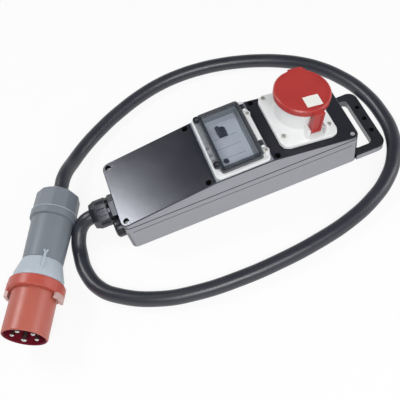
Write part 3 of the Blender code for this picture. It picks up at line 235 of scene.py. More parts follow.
def make_floor():
    bpy.ops.object.select_all(action="DESELECT")
    bpy.ops.mesh.primitive_plane_add(size=FLOOR_SIZE, location=(0, 0, 0))
    floor = bpy.context.object
    floor.name = "floor"
    white = Finish("floor_white")
    white.set(base_color=tone(WHITE, FLOOR_WHITE), roughness=FLOOR_ROUGHNESS, specular_ior_level=FLOOR_SHINE)
    direct, glossy, through = [white.node("LightPath", output=f"Is {kind} Ray")
                               for kind in ("Camera", "Glossy", "Transmission")]
    share = white.node("Clamp", {"Value": direct + glossy + through}) * FLOOR_GLOW
    lit = Value(white.tree, white.shader.outputs[0])
    glow = white.node("Emission", {"Color": tone(WHITE), "Strength": 1.0})
    shown = white.node("MixShader", {0: share, 1: lit, 2: glow})
    feed(white.tree.nodes["Material Output"].inputs["Surface"], shown)
    floor.data.materials.append(white.material)


make_floor()
print("floor", FLOOR_SIZE, "m wide")

# %% [markdown]
# ## Sky and lamps
# The sky is pale at the rim and darker overhead, as under a studio ceiling: black plastic then looks black
# from above and grey on its sides, which is what the photo shows. A picture of a studio could light the
# box too, but a sky of two stops and a few soft boxes are easier to change.

# %% Sky and lamps
SKY_TINT = (0.98, 0.99, 1.0)
SKY_STOPS = ((0.05, 0.95), (0.60, 0.07))
# Each soft box has its place, what it is aimed at, its width and height, and its watts.
LAMPS = {
    "back_left_box": ((-1.05, 0.90, 1.59), (-0.165, -0.05, 0.065), (0.56, 0.56), 15.5),
    "front_box": ((-0.1, -1.1, 1.6), (-0.05, 0, 0.03), (1.0, 0.8), 23),
    "right_box": ((1.5, -0.5, 0.8), (0, 0, 0.05), (0.8, 0.8), 8),
}


def make_sky():
    """A sky whose stops are each a height, from 0 at the rim to 1 overhead, and a brightness."""
    world = bpy.data.worlds.new("studio")
    bpy.context.scene.world = world
    world.use_nodes = True
    sky = Tree(world.node_tree)
    height = sky.node("SeparateXYZ", {0: sky.node("TexCoord", output="Generated")}, output="Z")
    stops = [(rise, tone(SKY_TINT, level)) for rise, level in SKY_STOPS]
    shade = sky.node("ValToRGB", {"Fac": height}, stops=stops)
    background = world.node_tree.nodes["Background"]
    feed(background.inputs["Color"], shade)
    feed(background.inputs["Strength"], 1.0)


def softbox(name, place, aim, size, watts):
    lamp = bpy.data.lights.new(name, "AREA")
    lamp.shape = "RECTANGLE"
    lamp.size, lamp.size_y = size
    lamp.energy = watts
    made = bpy.data.objects.new(name, lamp)
    bpy.context.scene.collection.objects.link(made)
    made.location = place
    made.rotation_euler = (Vector(aim) - Vector(place)).to_track_quat("-Z", "Y").to_euler()


make_sky()
for name, lamp in LAMPS.items():
    softbox(name, *lamp)
print("sky and", len(LAMPS), "soft boxes")

# %% [markdown]
# ## Moulded plastics
# Almost everything here is moulded: a fine spark-eroded grain, a slight cloudiness in the colour and
# patches that handling has polished. A picture could carry that, but noise in real sizes holds at any
# distance, so one function makes every moulded finish from its colour, its gloss and the size of its
# grain.

# %% Moulded plastics
CLOUD_LUMPS = 35
HANDLED = (0.30, 0.70)  # Between these levels of the noise, plain plastic turns into polished.
GRAIN_STRENGTH = 0.35
BLUE_SHEEN = (0.88, 0.90, 1.0)
CASE_GRAIN = {"grain": 2200, "depth": 0.00005, "gloss": BLUE_SHEEN}
MOULDED = {
    "case_black": dict(colour=(0.0045, 0.0062, 0.0120), roughness=0.255, patches=0.045, spread=12, ior=2.1,
                       **CASE_GRAIN),
    "case_dull": dict(colour=(0.014, 0.0145, 0.021), roughness=0.45, **CASE_GRAIN),
    "grip_black": dict(colour=(0.022, 0.0235, 0.029), roughness=0.45, **CASE_GRAIN),
    # The upright sides: a lighter grey, a painted sheen for the bright floor that they reflect.
    "side_painted_sheen": dict(colour=(0.182, 0.180, 0.192), roughness=0.34, grain=2200, patches=0.02, ior=2.9,
                      gloss=BLUE_SHEEN),
    "gland_black": dict(colour=(0.014, 0.015, 0.020), roughness=0.30, ior=1.55, gloss=BLUE_SHEEN),
    "gasket_black": dict(colour=(0.006, 0.006, 0.007), roughness=0.7, ior=1.3),
    "frame_white": dict(colour=(0.78, 0.79, 0.80), roughness=0.38, cloud=0.03),
    "breaker_grey": dict(colour=(0.445, 0.49, 0.57), roughness=0.42, cloud=0.04),
    # A grey for the window's opening and its liner: painted light and shade for the look through the clear
    # cover.
    "painted_light_and_shade_grey": dict(colour=(0.225, 0.25, 0.28), roughness=0.5),
    "switch_dark": dict(colour=(0.008, 0.009, 0.030), roughness=0.50, ior=1.3),
    "socket_white": dict(colour=(0.80, 0.81, 0.81), roughness=0.40, cloud=0.03),
    "carrier_grey": dict(colour=(0.16, 0.17, 0.18), roughness=0.5),
    "signal_red": dict(colour=(0.43, 0.040, 0.036), roughness=0.34, cloud=0.16),
    "plug_red": dict(colour=(0.46, 0.118, 0.086), roughness=0.40, cloud=0.08),
    "ring_red": dict(colour=(0.47, 0.086, 0.062), roughness=0.40),
    "pale_lug_red": dict(colour=(0.55, 0.36, 0.33), roughness=0.45),
    "dark_red": dict(colour=(0.150, 0.006, 0.018), roughness=0.60, ior=1.25),
    "plug_light_grey": dict(colour=(0.46, 0.52, 0.58), roughness=0.40, cloud=0.04),
    "plug_dark_grey": dict(colour=(0.182, 0.208, 0.240), roughness=0.46, cloud=0.06),
    "label_paper": dict(colour=(0.82, 0.82, 0.77), roughness=0.5, grain=900, depth=0.00002, cloud=0.05),
}


def moulded(name, colour, roughness, grain=2600, depth=0.00006, cloud=0.10, patches=0.05, spread=90, ior=1.5,
            gloss=WHITE):
    """A moulded plastic. Grain and the spread of its patches are in lumps per metre, and depth is the grain's
    height in metres. Cloud and patches say how far colour and roughness vary, and gloss tints the shine."""
    made = Finish(name)
    clouds = made.noise(CLOUD_LUMPS, detail=3)
    handled = made.ramp(made.noise(spread, detail=4), *HANDLED)
    surface = made.noise(grain, detail=2)
    return made.set(base_color=made.blend(clouds, tone(colour, 1 - cloud), tone(colour, 1 + cloud)),
                    roughness=roughness - handled * patches, normal=made.bump(surface, GRAIN_STRENGTH, depth),
                    ior=ior, specular_tint=tone(gloss))


finishes = {name: moulded(name, **look) for name, look in MOULDED.items()}
print(len(finishes), "moulded finishes")

# %% [markdown]
# ## Metals, rubber and clear plastic
# The screws and hinge pins are zinc plated, with faint turning marks, and the screws of the window and of
# the socket have gone dull; the contacts are nickel. The cable's sheath is rubber with a dusty bloom. The
# cover is clear polycarbonate: a share of plain transparency in a glossy shell is lighter to render than
# true glass and exports well.

# %% Metals, rubber and clear plastic
MARK_SHADE = 0.82
MARK_ROUGHNESS = 0.14
TURNING_MARKS = 900
CONTACT_MARKS = 700
PLATED = {
    "steel": dict(colour=(0.80, 0.81, 0.82), roughness=0.34, marks=TURNING_MARKS, bare=0.65),
    "worn_steel": dict(colour=(0.53, 0.53, 0.47), roughness=0.42, marks=TURNING_MARKS, bare=0.7),
    "nickel": dict(colour=(0.72, 0.72, 0.69), roughness=0.18, marks=CONTACT_MARKS),
}
BLOOM_LUMPS = 28
DUST_LUMPS = 1400
DUST_STRENGTH = 0.25
DUST_DEPTH = 0.00005
RUBBER_ROUGHNESS = (0.30, 0.14)
RUBBER_IOR = 1.6
SMEAR_LUMPS = 60
CLEAR_IOR = 1.6


def plated(name, colour, roughness, marks, bare=1.0):
    """A plated metal: marks are in lumps per metre, and bare is the share that shines as clean metal does."""
    made = Finish(name)
    streaks = made.noise(marks, detail=4)
    return made.set(base_color=made.blend(streaks, tone(colour, MARK_SHADE), tone(colour)), metallic=bare,
                    roughness=roughness + streaks * MARK_ROUGHNESS)


def sheath(name, dark, dusty):
    """Rubber that varies between a dark and a dusty colour, and is rougher where it is dusty."""
    made = Finish(name)
    bloom = made.noise(BLOOM_LUMPS, detail=5)
    dust = made.noise(DUST_LUMPS, detail=3)
    return made.set(base_color=made.blend(bloom, tone(dark), tone(dusty)),
                    roughness=RUBBER_ROUGHNESS[0] + bloom * RUBBER_ROUGHNESS[1],
                    normal=made.bump(dust, DUST_STRENGTH, DUST_DEPTH), ior=RUBBER_IOR)


def clear_plastic(name, colour, alpha, roughness):
    """A clear moulding: alpha and roughness are each the least value and what its smears add."""
    made = Finish(name)
    smears = made.noise(SMEAR_LUMPS, detail=4)
    return made.set(base_color=tone(colour), roughness=roughness[0] + smears * roughness[1],
                    alpha=alpha[0] + smears * alpha[1], ior=CLEAR_IOR)


finishes.update({name: plated(name, **look) for name, look in PLATED.items()})
finishes["cable_rubber"] = sheath("cable_rubber", dark=(0.018, 0.0195, 0.028), dusty=(0.035, 0.0375, 0.050))
finishes["clear_cover"] = clear_plastic("clear_cover", (0.30, 0.34, 0.40), alpha=(0.02, 0.05),
                                        roughness=(0.05, 0.08))
for node, item in nodes.items():
    item.data.materials.clear()
    worn = node.startswith(("window_screw", "socket_screw"))
    item.data.materials.append(finishes["worn_steel" if worn else slot_of[node]])
print(len(finishes), "finishes in all")

# %% [markdown]
# ## The supply cable
# A heavy rubber cable leaves the gland, falls to the table, runs round the box in one wide loop and comes
# back to the plug. It is a fixed length of something stiff, so it is one smooth curve through points on
# its centre line, and a round bevel gives it its thickness. Automatic handles swing a little up and down
# beside a slope, so where the cable lies on the table its handles are laid level.

# %% The supply cable
MERGE = 1e-6
CABLE_DIAMETER = 0.022
CABLE_LIE = 0.0113
CABLE_STEPS = 10
CABLE_ROUTE = (
    (-0.2108, 0.0000, 0.0350), (-0.2248, 0.0000, 0.0350),
    (-0.2385, -0.0030, 0.0285), (-0.2502, -0.0165, 0.0190), (-0.2558, -0.0430, CABLE_LIE),
    (-0.2537, -0.0740, CABLE_LIE), (-0.2420, -0.1020, CABLE_LIE), (-0.2190, -0.1240, CABLE_LIE),
    (-0.1670, -0.1510, CABLE_LIE), (-0.1120, -0.1635, CABLE_LIE), (-0.0540, -0.1675, CABLE_LIE),
    (0.0060, -0.1660, CABLE_LIE), (0.0690, -0.1590, CABLE_LIE), (0.1200, -0.1480, CABLE_LIE),
    (0.1640, -0.1310, CABLE_LIE), (0.1985, -0.1090, CABLE_LIE), (0.2235, -0.0820, CABLE_LIE),
    (0.2408, -0.0470, CABLE_LIE), (0.2465, 0.0000, CABLE_LIE), (0.2395, 0.0520, CABLE_LIE),
    (0.2234, 0.0910, CABLE_LIE), (0.2030, 0.1223, CABLE_LIE), (0.1790, 0.1472, CABLE_LIE),
    (0.1519, 0.1673, CABLE_LIE), (0.1226, 0.1838, CABLE_LIE), (0.0919, 0.1972, CABLE_LIE),
    (0.0593, 0.2078, CABLE_LIE), (0.0254, 0.2148, CABLE_LIE), (-0.0100, 0.2176, CABLE_LIE),
    (-0.0473, 0.2152, CABLE_LIE), (-0.0869, 0.2060, CABLE_LIE), (-0.1250, 0.1915, CABLE_LIE),
    (-0.1620, 0.1730, CABLE_LIE), (-0.1960, 0.1500, 0.0130), (-0.2225, 0.1235, 0.0185),
    (-0.2429, 0.0912, 0.0315), (-0.2544, 0.0663, 0.0328), (-0.2569, 0.0610, 0.0331),
)


def make_cable():
    line = bpy.data.curves.new("cable", "CURVE")
    line.dimensions = "3D"
    line.bevel_depth = CABLE_DIAMETER / 2
    line.bevel_resolution = CABLE_STEPS
    line.use_fill_caps = True
    line.resolution_u = CABLE_STEPS
    spline = line.splines.new("BEZIER")
    spline.bezier_points.add(len(CABLE_ROUTE) - 1)
    for knot, point in zip(spline.bezier_points, CABLE_ROUTE):
        knot.co = point
        knot.handle_left_type = knot.handle_right_type = "AUTO"
    for knot in spline.bezier_points:
        if knot.co.z < CABLE_LIE + MERGE:
            knot.handle_left_type = knot.handle_right_type = "FREE"
            knot.handle_left.z = knot.handle_right.z = knot.co.z
    cable = bpy.data.objects.new("cable", line)
    bpy.context.scene.collection.objects.link(cable)
    line.materials.append(finishes["cable_rubber"])
    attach(cable, "case")
    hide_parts("supply_cable")
    return cable


cable = make_cable()
print("cable through", len(CABLE_ROUTE), "points")

# %% [markdown]
# ## Dressing a piece
# Every piece from here on rides on the body that carries it, so that the joints move it, and takes one of the
# solids' finishes where it has none of its own. That could be said piece by piece. One helper reads both from
# the solid that the piece stands for, and they are given only where a piece is an addition.

# %% Dressing a piece


def only(piece):
    bpy.ops.object.select_all(action="DESELECT")
    piece.select_set(True)
    bpy.context.view_layer.objects.active = piece


def dress(piece, *replaced, body=None, slot=None):
    """Puts a piece on the body of the solids it stands for and hides them; a piece with no finish yet gets
    theirs, unless a body or finish is given.
    """
    first = replaced[0] if replaced else None
    chosen = slot or slot_of[first]
    if not piece.data.materials:
        piece.data.materials.append(finishes[chosen])
    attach(piece, body or nodes[first]["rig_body"])
    if replaced:
        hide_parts(*replaced)
    return piece


print("dressing ready for", len(set(slot_of.values())), "finishes of the solids")

# %% [markdown]
# ## Softened mouldings
# A moulding has no knife edges: every corner has a small radius that catches the light. The solids have
# crisp edges, so each visible moulding is copied, its loose triangles are merged into clean faces, and
# its edges are rounded with a bevel. The copy then stands for the solid.

# %% Softened mouldings
FLAT = radians(1)
SMOOTH = radians(40)
SOFTENED = {
    "breaker_body": ("breaker_case", 0.0004), "blank_module": ("blank_strip", 0.0004),
    "breaker_toggle": ("toggle_lever", 0.0005), "test_button": ("test_cap", 0.0003),
    "socket_housing": ("socket_shell", 0.0006), "gland_body": ("gland_seat", 0.0006),
    "gland_nut": ("gland_cap", 0.0012), "blanking_plug": ("blank_button", 0.0006),
    "plug_front": ("front_collar", 0.0006), "plug_rear": ("rear_body", 0.0006),
}


def rounded(piece, width, segments=3, angle=30):
    """Rounds the piece's edges that are sharper than the angle and shades what is left smooth."""
    only(piece)
    edge = piece.modifiers.new("edge", "BEVEL")
    edge.width = width
    edge.segments = segments
    edge.limit_method = "ANGLE"
    edge.angle_limit = radians(angle)
    bpy.ops.object.modifier_apply(modifier="edge")
    bpy.ops.object.shade_smooth_by_angle(angle=SMOOTH)
    even = piece.modifiers.new("even", "WEIGHTED_NORMAL")
    even.keep_sharp = True
    bpy.ops.object.modifier_apply(modifier="even")
    return piece


def merged(node, name):
    """A copy of a solid with its loose triangles merged into clean faces."""
    piece = bpy.data.objects.new(name, nodes[node].data.copy())
    bpy.context.scene.collection.objects.link(piece)
    only(piece)
    bpy.ops.mesh.customdata_custom_splitnormals_clear()
    bpy.ops.object.mode_set(mode="EDIT")
    bpy.ops.mesh.select_all(action="SELECT")
    bpy.ops.mesh.remove_doubles(threshold=MERGE)
    bpy.ops.mesh.dissolve_limited(angle_limit=FLAT)
    bpy.ops.object.mode_set(mode="OBJECT")
    return piece


for node, (name, width) in SOFTENED.items():
    dress(rounded(merged(node, name), width), node)
print(len(SOFTENED), "mouldings softened")

# %% [markdown]
# ## Finishes by place
# The lid's rising top is glossy and its falling top is duller. The upright sides are painted a lighter grey,
# a painted sheen for the bright floor that they reflect, and the screw wells and the grip's dimples are
# painted near black, as painted shade in their hollows. The opening under the window is painted grey, as
# painted light and shade seen through the clear cover. Cutting the shells into more pieces would add seams
# that the real case doesn't have. One mesh can hold several finishes, so each face gets one by where it lies
# and which way it looks.

# %% Finishes by place
SIDE_FROM = 0.0552
END_FROM = 0.1785
CASE_END = 0.1805
FALL_FROM = 0.0485
STEEP = 0.5  # A face whose normal has less of Z than this is a side, and one with more is a top.
WINDOW_LOW = (-0.0218, -0.0475)
WINDOW_HIGH = (0.0353, 0.0515)
ROOF_LOW = 0.0825


def painted(piece, first, *others):
    """Gives every face the first finish, or the last of the others whose test its centre and normal pass."""
    piece.data.materials.clear()
    for name in [first] + [name for name, test in others]:
        piece.data.materials.append(finishes[name])
    for face in piece.data.polygons:
        passed = [number for number, (name, test) in enumerate(others, 1) if test(face.center, face.normal)]
        face.material_index = passed[-1] if passed else 0
    return piece


def upright(at, way):
    outer = abs(at.y) > SIDE_FROM or END_FROM < abs(at.x) < CASE_END
    return outer and abs(way.z) < STEEP


def falling(at, way):
    return at.x > FALL_FROM and way.z > STEEP


def grip_top(at, way):
    return at.x > CASE_END and way.z > STEEP


def within(places, radius):
    return lambda at, way: any((at.xy - place).length < radius for place in places)


def in_window(at, way):
    """Under the clear cover: the walls of the opening and the rim of the frame there."""
    return WINDOW_LOW[0] < at.x < WINDOW_HIGH[0] and WINDOW_LOW[1] < at.y < WINDOW_HIGH[1]


def in_roof_opening(at, way):
    return in_window(at, way) and at.z > ROOF_LOW


print("six tests of place ready")

# %% [markdown]
# ## Measuring the solids
# A place can be typed in as numbers, but a solid already knows where it is. Two helpers read a solid's box
# and its middle, so that what is placed by them follows the frame.

# %% Measuring the solids


def box_of(node):
    """The lowest and the highest corner of a solid."""
    points = [point.co for point in nodes[node].data.vertices]
    return Vector(map(min, zip(*points))), Vector(map(max, zip(*points)))


def middle_of(node):
    low, high = box_of(node)
    return (low + high) / 2


print("lid", [tuple(round(n, 4) for n in corner) for corner in box_of("case_lid")])

# %% [markdown]
# ## The case's shells and the window frame
# The two shells and the frame are softened like the other mouldings and then painted. A face gets one
# finish only, so the frame is first cut along the edges of the window. The wells are found from the
# screws that stand in them.

# %% The case's shells and the window frame
SHELL_EDGE = 0.0006
FRAME_EDGE = 0.0005
LID_SCREWS = 8
WELL_RADIUS = 0.0050
GRIP_MIDDLE = 0.2185
DIMPLE_RADIUS = 0.0042
DIMPLE_PITCH = 0.0235
DIMPLES = [Vector((GRIP_MIDDLE, step * DIMPLE_PITCH)) for step in (-1, 0, 1)]


def cut_at(piece, place, way):
    """Cuts every face that a plane crosses, so that its two sides can differ."""
    only(piece)
    bpy.ops.object.mode_set(mode="EDIT")
    bpy.ops.mesh.select_all(action="SELECT")
    bpy.ops.mesh.bisect(plane_co=place, plane_no=way)
    bpy.ops.object.mode_set(mode="OBJECT")


# The upright sides of both shells take a lighter grey, a painted sheen for the bright floor that they
# reflect.
def make_lid_shell():
    wells = [middle_of(f"lid_screw_{number}").xy for number in range(1, LID_SCREWS + 1)]
    # Inside the window's opening the lid's black walls are painted grey: painted light as seen through the
    # clear cover.
    shell = rounded(merged("case_lid", "lid_shell"), SHELL_EDGE)
    # The screw wells are painted near black: painted shade in their hollows.
    painted(shell, "case_black", ("case_dull", falling), ("side_painted_sheen", upright),
            ("gasket_black", within(wells, WELL_RADIUS)), ("painted_light_and_shade_grey", in_roof_opening))
    return dress(shell, "case_lid")


def make_base_shell():
    shell = rounded(merged("case_base", "base_shell"), SHELL_EDGE)
    # The grip's dimples are painted near black: painted shade in their hollows.
    painted(shell, "case_black", ("grip_black", grip_top), ("side_painted_sheen", upright),
            ("gasket_black", within(DIMPLES, DIMPLE_RADIUS)))
    return dress(shell, "case_base")


def make_surround():
    surround = merged("window_frame", "window_surround")
    for x, y in (WINDOW_LOW, WINDOW_HIGH):
        cut_at(surround, (x, 0, 0), (1, 0, 0))
        cut_at(surround, (0, y, 0), (0, 1, 0))
    # Inside the window the white frame is painted grey, as painted shade under the clear cover.
    painted(rounded(surround, FRAME_EDGE), "frame_white", ("painted_light_and_shade_grey", in_window))
    return dress(surround, "window_frame")


shells = [make_lid_shell(), make_base_shell(), make_surround()]
print("faces of the shells and the window frame", [len(shell.data.polygons) for shell in shells])

# %% [markdown]
# ## Places on the clear cover
# The cover is one clear moulding, but its thick walls are seen edge on and look dark, as the rim of any
# clear box does. The posts over the frame's screws and the finger latch under the ledge are thick too.
# Bending light through every wall would show that, at a price in noise. Here that darkness is painted shade
# instead, and the thick places are told from the clear ones by tests, as on the shells.

# %% Places on the clear cover
COVER_LOW, COVER_HIGH = box_of("window_cover")
COVER_BORDER = 0.0048
COVER_WALLS = (-0.0255, 0.0388)
COVER_POSTS = [middle_of(f"window_screw_{number}").y for number in (1, 2)]
COVER_POST_RADIUS = 0.0056
COVER_LATCH = (-0.0245, 0.0015)
COVER_LEDGE_LOW = 0.0941
FACING = 0.9  # So much of a normal looks one way on a face that is nearly flat.


def on_rim(at, way):
    return at.x > COVER_WALLS[0] and way.z > -FACING


def on_ledge(at, way):
    return at.x < COVER_WALLS[0]


def on_post_or_latch(at, way):
    post = min(abs(at.y - y) for y in COVER_POSTS) < COVER_POST_RADIUS
    latch = at.z < COVER_LEDGE_LOW and COVER_LATCH[0] < at.y < COVER_LATCH[1]
    return on_ledge(at, way) and (post or latch)


def on_roof(at, way):
    """The clear middle of the roof, inside its border."""
    across = COVER_WALLS[0] + COVER_BORDER < at.x < COVER_WALLS[1] - COVER_BORDER
    along = COVER_LOW.y + COVER_BORDER < at.y < COVER_HIGH.y - COVER_BORDER
    return across and along and way.z > FACING and at.z > COVER_HIGH.z - MERGE


print("cover posts at", [round(y, 4) for y in COVER_POSTS])

# %% [markdown]
# ## The clear cover
# The roof is inset to leave a border. The border, the walls and the other thick places get a darker, less
# clear finish, painted shade for the light that thick clear walls bend away, and the middle stays clear. By
# hand the roof would be clicked on. In code its face is picked by where it lies and which way it looks.

# %% The clear cover
COVER_EDGE = 0.0006
LEVEL = 0.99  # So much of a normal looks one way on a flat face.
REFRACTION_ROUGHNESS = (0.08, 0.10)
REFRACTION_SMEARS = 0.1


def painted_refraction(name, colour, least):
    """A thick clear moulding with painted shade: a darker colour and a higher least alpha than a thin sheet's
    stand for the light that thick walls bend away.
    """
    finishes[name] = clear_plastic(name, colour, (least, REFRACTION_SMEARS), REFRACTION_ROUGHNESS)


def pick(piece, test):
    """Goes into edit mode with the faces selected whose centre and normal pass the test, and counts them."""
    if bpy.context.mode != "OBJECT":
        bpy.ops.object.mode_set(mode="OBJECT")
    only(piece)
    bpy.ops.object.mode_set(mode="EDIT")
    bpy.ops.mesh.select_mode(type="FACE")
    bpy.ops.mesh.select_all(action="DESELECT")
    bpy.ops.object.mode_set(mode="OBJECT")
    for face in piece.data.polygons:
        face.select = bool(test(face.center, face.normal))
    bpy.ops.object.mode_set(mode="EDIT")
    return sum(face.select for face in piece.data.polygons)


def make_cover():
    cover = merged("window_cover", "clear_lid")
    found = pick(cover, lambda at, way: way.z > LEVEL and at.z > COVER_HIGH.z - MERGE)
    bpy.ops.mesh.inset(thickness=COVER_BORDER)
    bpy.ops.object.mode_set(mode="OBJECT")
    rounded(cover, COVER_EDGE)
    painted(cover, "clear_cover", ("cover_rim", on_rim), ("cover_ledge", on_ledge),
            ("cover_rim", on_post_or_latch), ("clear_cover", on_roof))
    dress(cover, "window_cover")
    return found


# The rim and the ledge are painted darker: painted shade for the light that thick clear walls bend away.
painted_refraction("cover_rim", (0.026, 0.030, 0.042), 0.70)
painted_refraction("cover_ledge", (0.21, 0.235, 0.26), 0.34)
print("cover roof faces", make_cover())

# %% [markdown]
# ## The red socket lid
# The lid is a cap with a shallow dished top inside a raised rim, and its hinge arm is a channel, hollow
# along its outer face. Both are inset and pushed in on the merged copy before its edges are rounded.

# %% The red socket lid
SOCKET_MIDDLE = (0.109, 0.0035, 0.075587)
SOCKET_TILT = atan2(0.185285, 0.982685)
SOCKET_PLACE = Matrix.Translation(SOCKET_MIDDLE) @ Matrix.Rotation(SOCKET_TILT, 4, "Y")
SOCKET_UP = (SOCKET_PLACE.to_3x3() @ Vector((0, 0, 1))).normalized()
LID_EDGE = 0.0007
LID_TOP = 0.0577
LID_RIM = 0.0028
LID_DISH = 0.0006
ARM_FACE_Y = -0.0430
ARM_FLANGE = 0.0026
ARM_HOLLOW = 0.0016
NEAR = 1e-4


def make_red_lid():
    lid = merged("socket_lid", "red_lid")
    top = (SOCKET_PLACE @ Vector((0, 0, LID_TOP))).dot(SOCKET_UP)
    counts = [pick(lid, lambda at, way: way.dot(SOCKET_UP) > LEVEL
                   and abs(at.dot(SOCKET_UP) - top) < NEAR)]
    bpy.ops.mesh.inset(thickness=LID_RIM)
    bpy.ops.mesh.extrude_region_move(TRANSFORM_OT_translate={"value": SOCKET_UP * -LID_DISH})
    counts.append(pick(lid, lambda at, way: way.y < -LEVEL and at.y < ARM_FACE_Y + NEAR))
    bpy.ops.mesh.inset(thickness=ARM_FLANGE)
    bpy.ops.mesh.extrude_region_move(TRANSFORM_OT_translate={"value": (0, ARM_HOLLOW, 0)})
    bpy.ops.object.mode_set(mode="OBJECT")
    dress(rounded(lid, LID_EDGE), "socket_lid")
    return counts


print("red lid faces of the top and the arm", make_red_lid())

# %% [markdown]
# ## Slabs
# Many small pieces from here on are flat blocks. Each could be drawn and pulled up by itself, but one
# helper makes them all: a cube is stretched between two corners, its upright edges are rounded where that
# is asked, and it is set in its place and softened.

# %% Slabs
CORNER_STEPS = 5
SLAB_STEPS = 2


def round_corners(piece, radius):
    """Rounds the upright edges of a block that is in edit mode."""
    bpy.ops.mesh.select_mode(type="EDGE")
    bpy.ops.mesh.select_all(action="DESELECT")
    bpy.ops.object.mode_set(mode="OBJECT")
    points = piece.data.vertices
    for side in piece.data.edges:
        first, second = (points[number].co for number in side.vertices)
        side.select = abs(first.z - second.z) > abs(first.x - second.x) + abs(first.y - second.y)
    bpy.ops.object.mode_set(mode="EDIT")
    bpy.ops.mesh.bevel(offset=radius, segments=CORNER_STEPS, affect="EDGES")


def slab(name, low, high, edge, corner=0.0, place=Matrix()):
    """A flat block between two corners, set in its place."""
    bpy.ops.object.select_all(action="DESELECT")
    bpy.ops.mesh.primitive_cube_add(size=1, location=(0, 0, 0))
    piece = bpy.context.object
    piece.name = piece.data.name = name
    bpy.ops.object.mode_set(mode="EDIT")
    bpy.ops.mesh.select_all(action="SELECT")
    bpy.ops.transform.resize(value=[b - a for a, b in zip(low, high)])
    bpy.ops.transform.translate(value=[(a + b) / 2 for a, b in zip(low, high)])
    if corner:
        round_corners(piece, corner)
    bpy.ops.object.mode_set(mode="OBJECT")
    piece.matrix_world = place
    bpy.ops.object.transform_apply(location=True, rotation=True, scale=True)
    return rounded(piece, edge, SLAB_STEPS)


print("slabs are softened in", SLAB_STEPS, "steps")

# %% [markdown]
# ## The lid's label
# A blank paper label lies on the dished top and swings with the lid. It could be painted on as a picture,
# but a thin slab has an edge of its own that catches the light.

# %% The lid's label
LABEL_THICKNESS = 0.0003
LABEL_LOW = (-0.0068, -0.0315, LID_TOP - LID_DISH)
LABEL_HIGH = (0.0162, -0.0128, LID_TOP - LID_DISH + LABEL_THICKNESS)
LABEL_CORNER = 0.0008
LABEL_EDGE = 0.0001

label = slab("lid_label", LABEL_LOW, LABEL_HIGH, LABEL_EDGE, LABEL_CORNER, SOCKET_PLACE)
label.data.materials.append(finishes["label_paper"])
dress(label, body="socket_flap", slot="signal_red")
print("label of", len(label.data.polygons), "faces")

# %% [markdown]
# ## Gland claws
# Between the gland's hexagon and its nut the ring of clamping fingers shows as dark and light blocks, and
# the nut has low ribs for the hand. One finger and one rib are modelled and copied round the cable, each
# copy with its own mesh, and each ring is joined into one piece.

# %% Gland claws
CLAW_COUNT = 12
CLAW_LOW = (-0.1934, -0.0030, 0.0515)
CLAW_HIGH = (-0.1894, 0.0030, 0.0548)
CLAW_EDGE = 0.0005
RIB_COUNT = 24
RIB_LOW = (-0.2090, -0.0008, 0.0525)
RIB_HIGH = (-0.1948, 0.0008, 0.0549)
RIB_EDGE = 0.0004


def copied(piece, name, place):
    """A copy with its own mesh, which is set in its place and keeps its object at the origin."""
    twin = bpy.data.objects.new(name, piece.data.copy())
    bpy.context.scene.collection.objects.link(twin)
    twin.matrix_world = place
    only(twin)
    bpy.ops.object.transform_apply(location=True, rotation=True, scale=True)
    return twin


def joined(pieces, name):
    """Joins pieces into the first of them under one name."""
    only(pieces[0])
    for piece in pieces:
        piece.select_set(True)
    bpy.ops.object.join()
    pieces[0].name = pieces[0].data.name = name
    return pieces[0]


def round_gland(piece, count):
    """Copies a piece evenly round the gland's axis and joins the copies into it."""
    name = piece.name
    axis = Matrix.Translation(middle_of("gland_nut"))
    turns = [Matrix.Rotation(2 * pi * number / count, 4, "X") for number in range(1, count)]
    copies = [copied(piece, f"{name}_copy", axis @ turn @ axis.inverted()) for turn in turns]
    return dress(joined([piece] + copies, name), body="case", slot="gland_black")


round_gland(slab("gland_claws", CLAW_LOW, CLAW_HIGH, CLAW_EDGE), CLAW_COUNT)
round_gland(slab("gland_ribs", RIB_LOW, RIB_HIGH, RIB_EDGE), RIB_COUNT)
print("gland claws", CLAW_COUNT, "and ribs", RIB_COUNT)

# %% [markdown]
# ## Spun pieces
# A round piece could start from a cylinder, but its shoulders and bores would then take many cuts. Here a
# profile is drawn point by point, beginning with a plane that is merged into one point, and spun about an
# axis. Spinning leaves a seam and may turn the faces inwards, so the seam is merged and the faces turned out.

# %% Spun pieces
START_SIZE = 0.01
ROUND_STEPS = 96


def band_profile(bore, radius, low, high):
    return (bore, low), (radius, low), (radius, high), (bore, high)


def spun(name, profile, place, steps=ROUND_STEPS):
    """Spins a closed profile of (radius, height) points about Z and sets the piece in its place."""
    bpy.ops.object.select_all(action="DESELECT")
    bpy.ops.mesh.primitive_plane_add(size=START_SIZE, location=(0, 0, 0))
    piece = bpy.context.object
    piece.name = piece.data.name = name
    bpy.ops.object.mode_set(mode="EDIT")
    bpy.ops.mesh.select_mode(type="VERT")
    bpy.ops.mesh.select_all(action="SELECT")
    bpy.ops.mesh.merge(type="CENTER")
    bpy.ops.transform.translate(value=(profile[0][0], 0, profile[0][1]))
    for (r0, z0), (r1, z1) in zip(profile, profile[1:] + profile[:1]):
        bpy.ops.mesh.extrude_region_move(TRANSFORM_OT_translate={"value": (r1 - r0, 0, z1 - z0)})
    bpy.ops.mesh.select_all(action="SELECT")
    bpy.ops.mesh.spin(steps=steps, angle=2 * pi, center=(0, 0, 0), axis=(0, 0, 1))
    bpy.ops.mesh.select_all(action="SELECT")
    bpy.ops.mesh.remove_doubles(threshold=MERGE)
    bpy.ops.mesh.normals_make_consistent(inside=False)
    bpy.ops.object.mode_set(mode="OBJECT")
    piece.matrix_world = place
    bpy.ops.object.transform_apply(location=True, rotation=True, scale=True)
    return piece


print("spun pieces have", ROUND_STEPS, "steps unless they say otherwise")
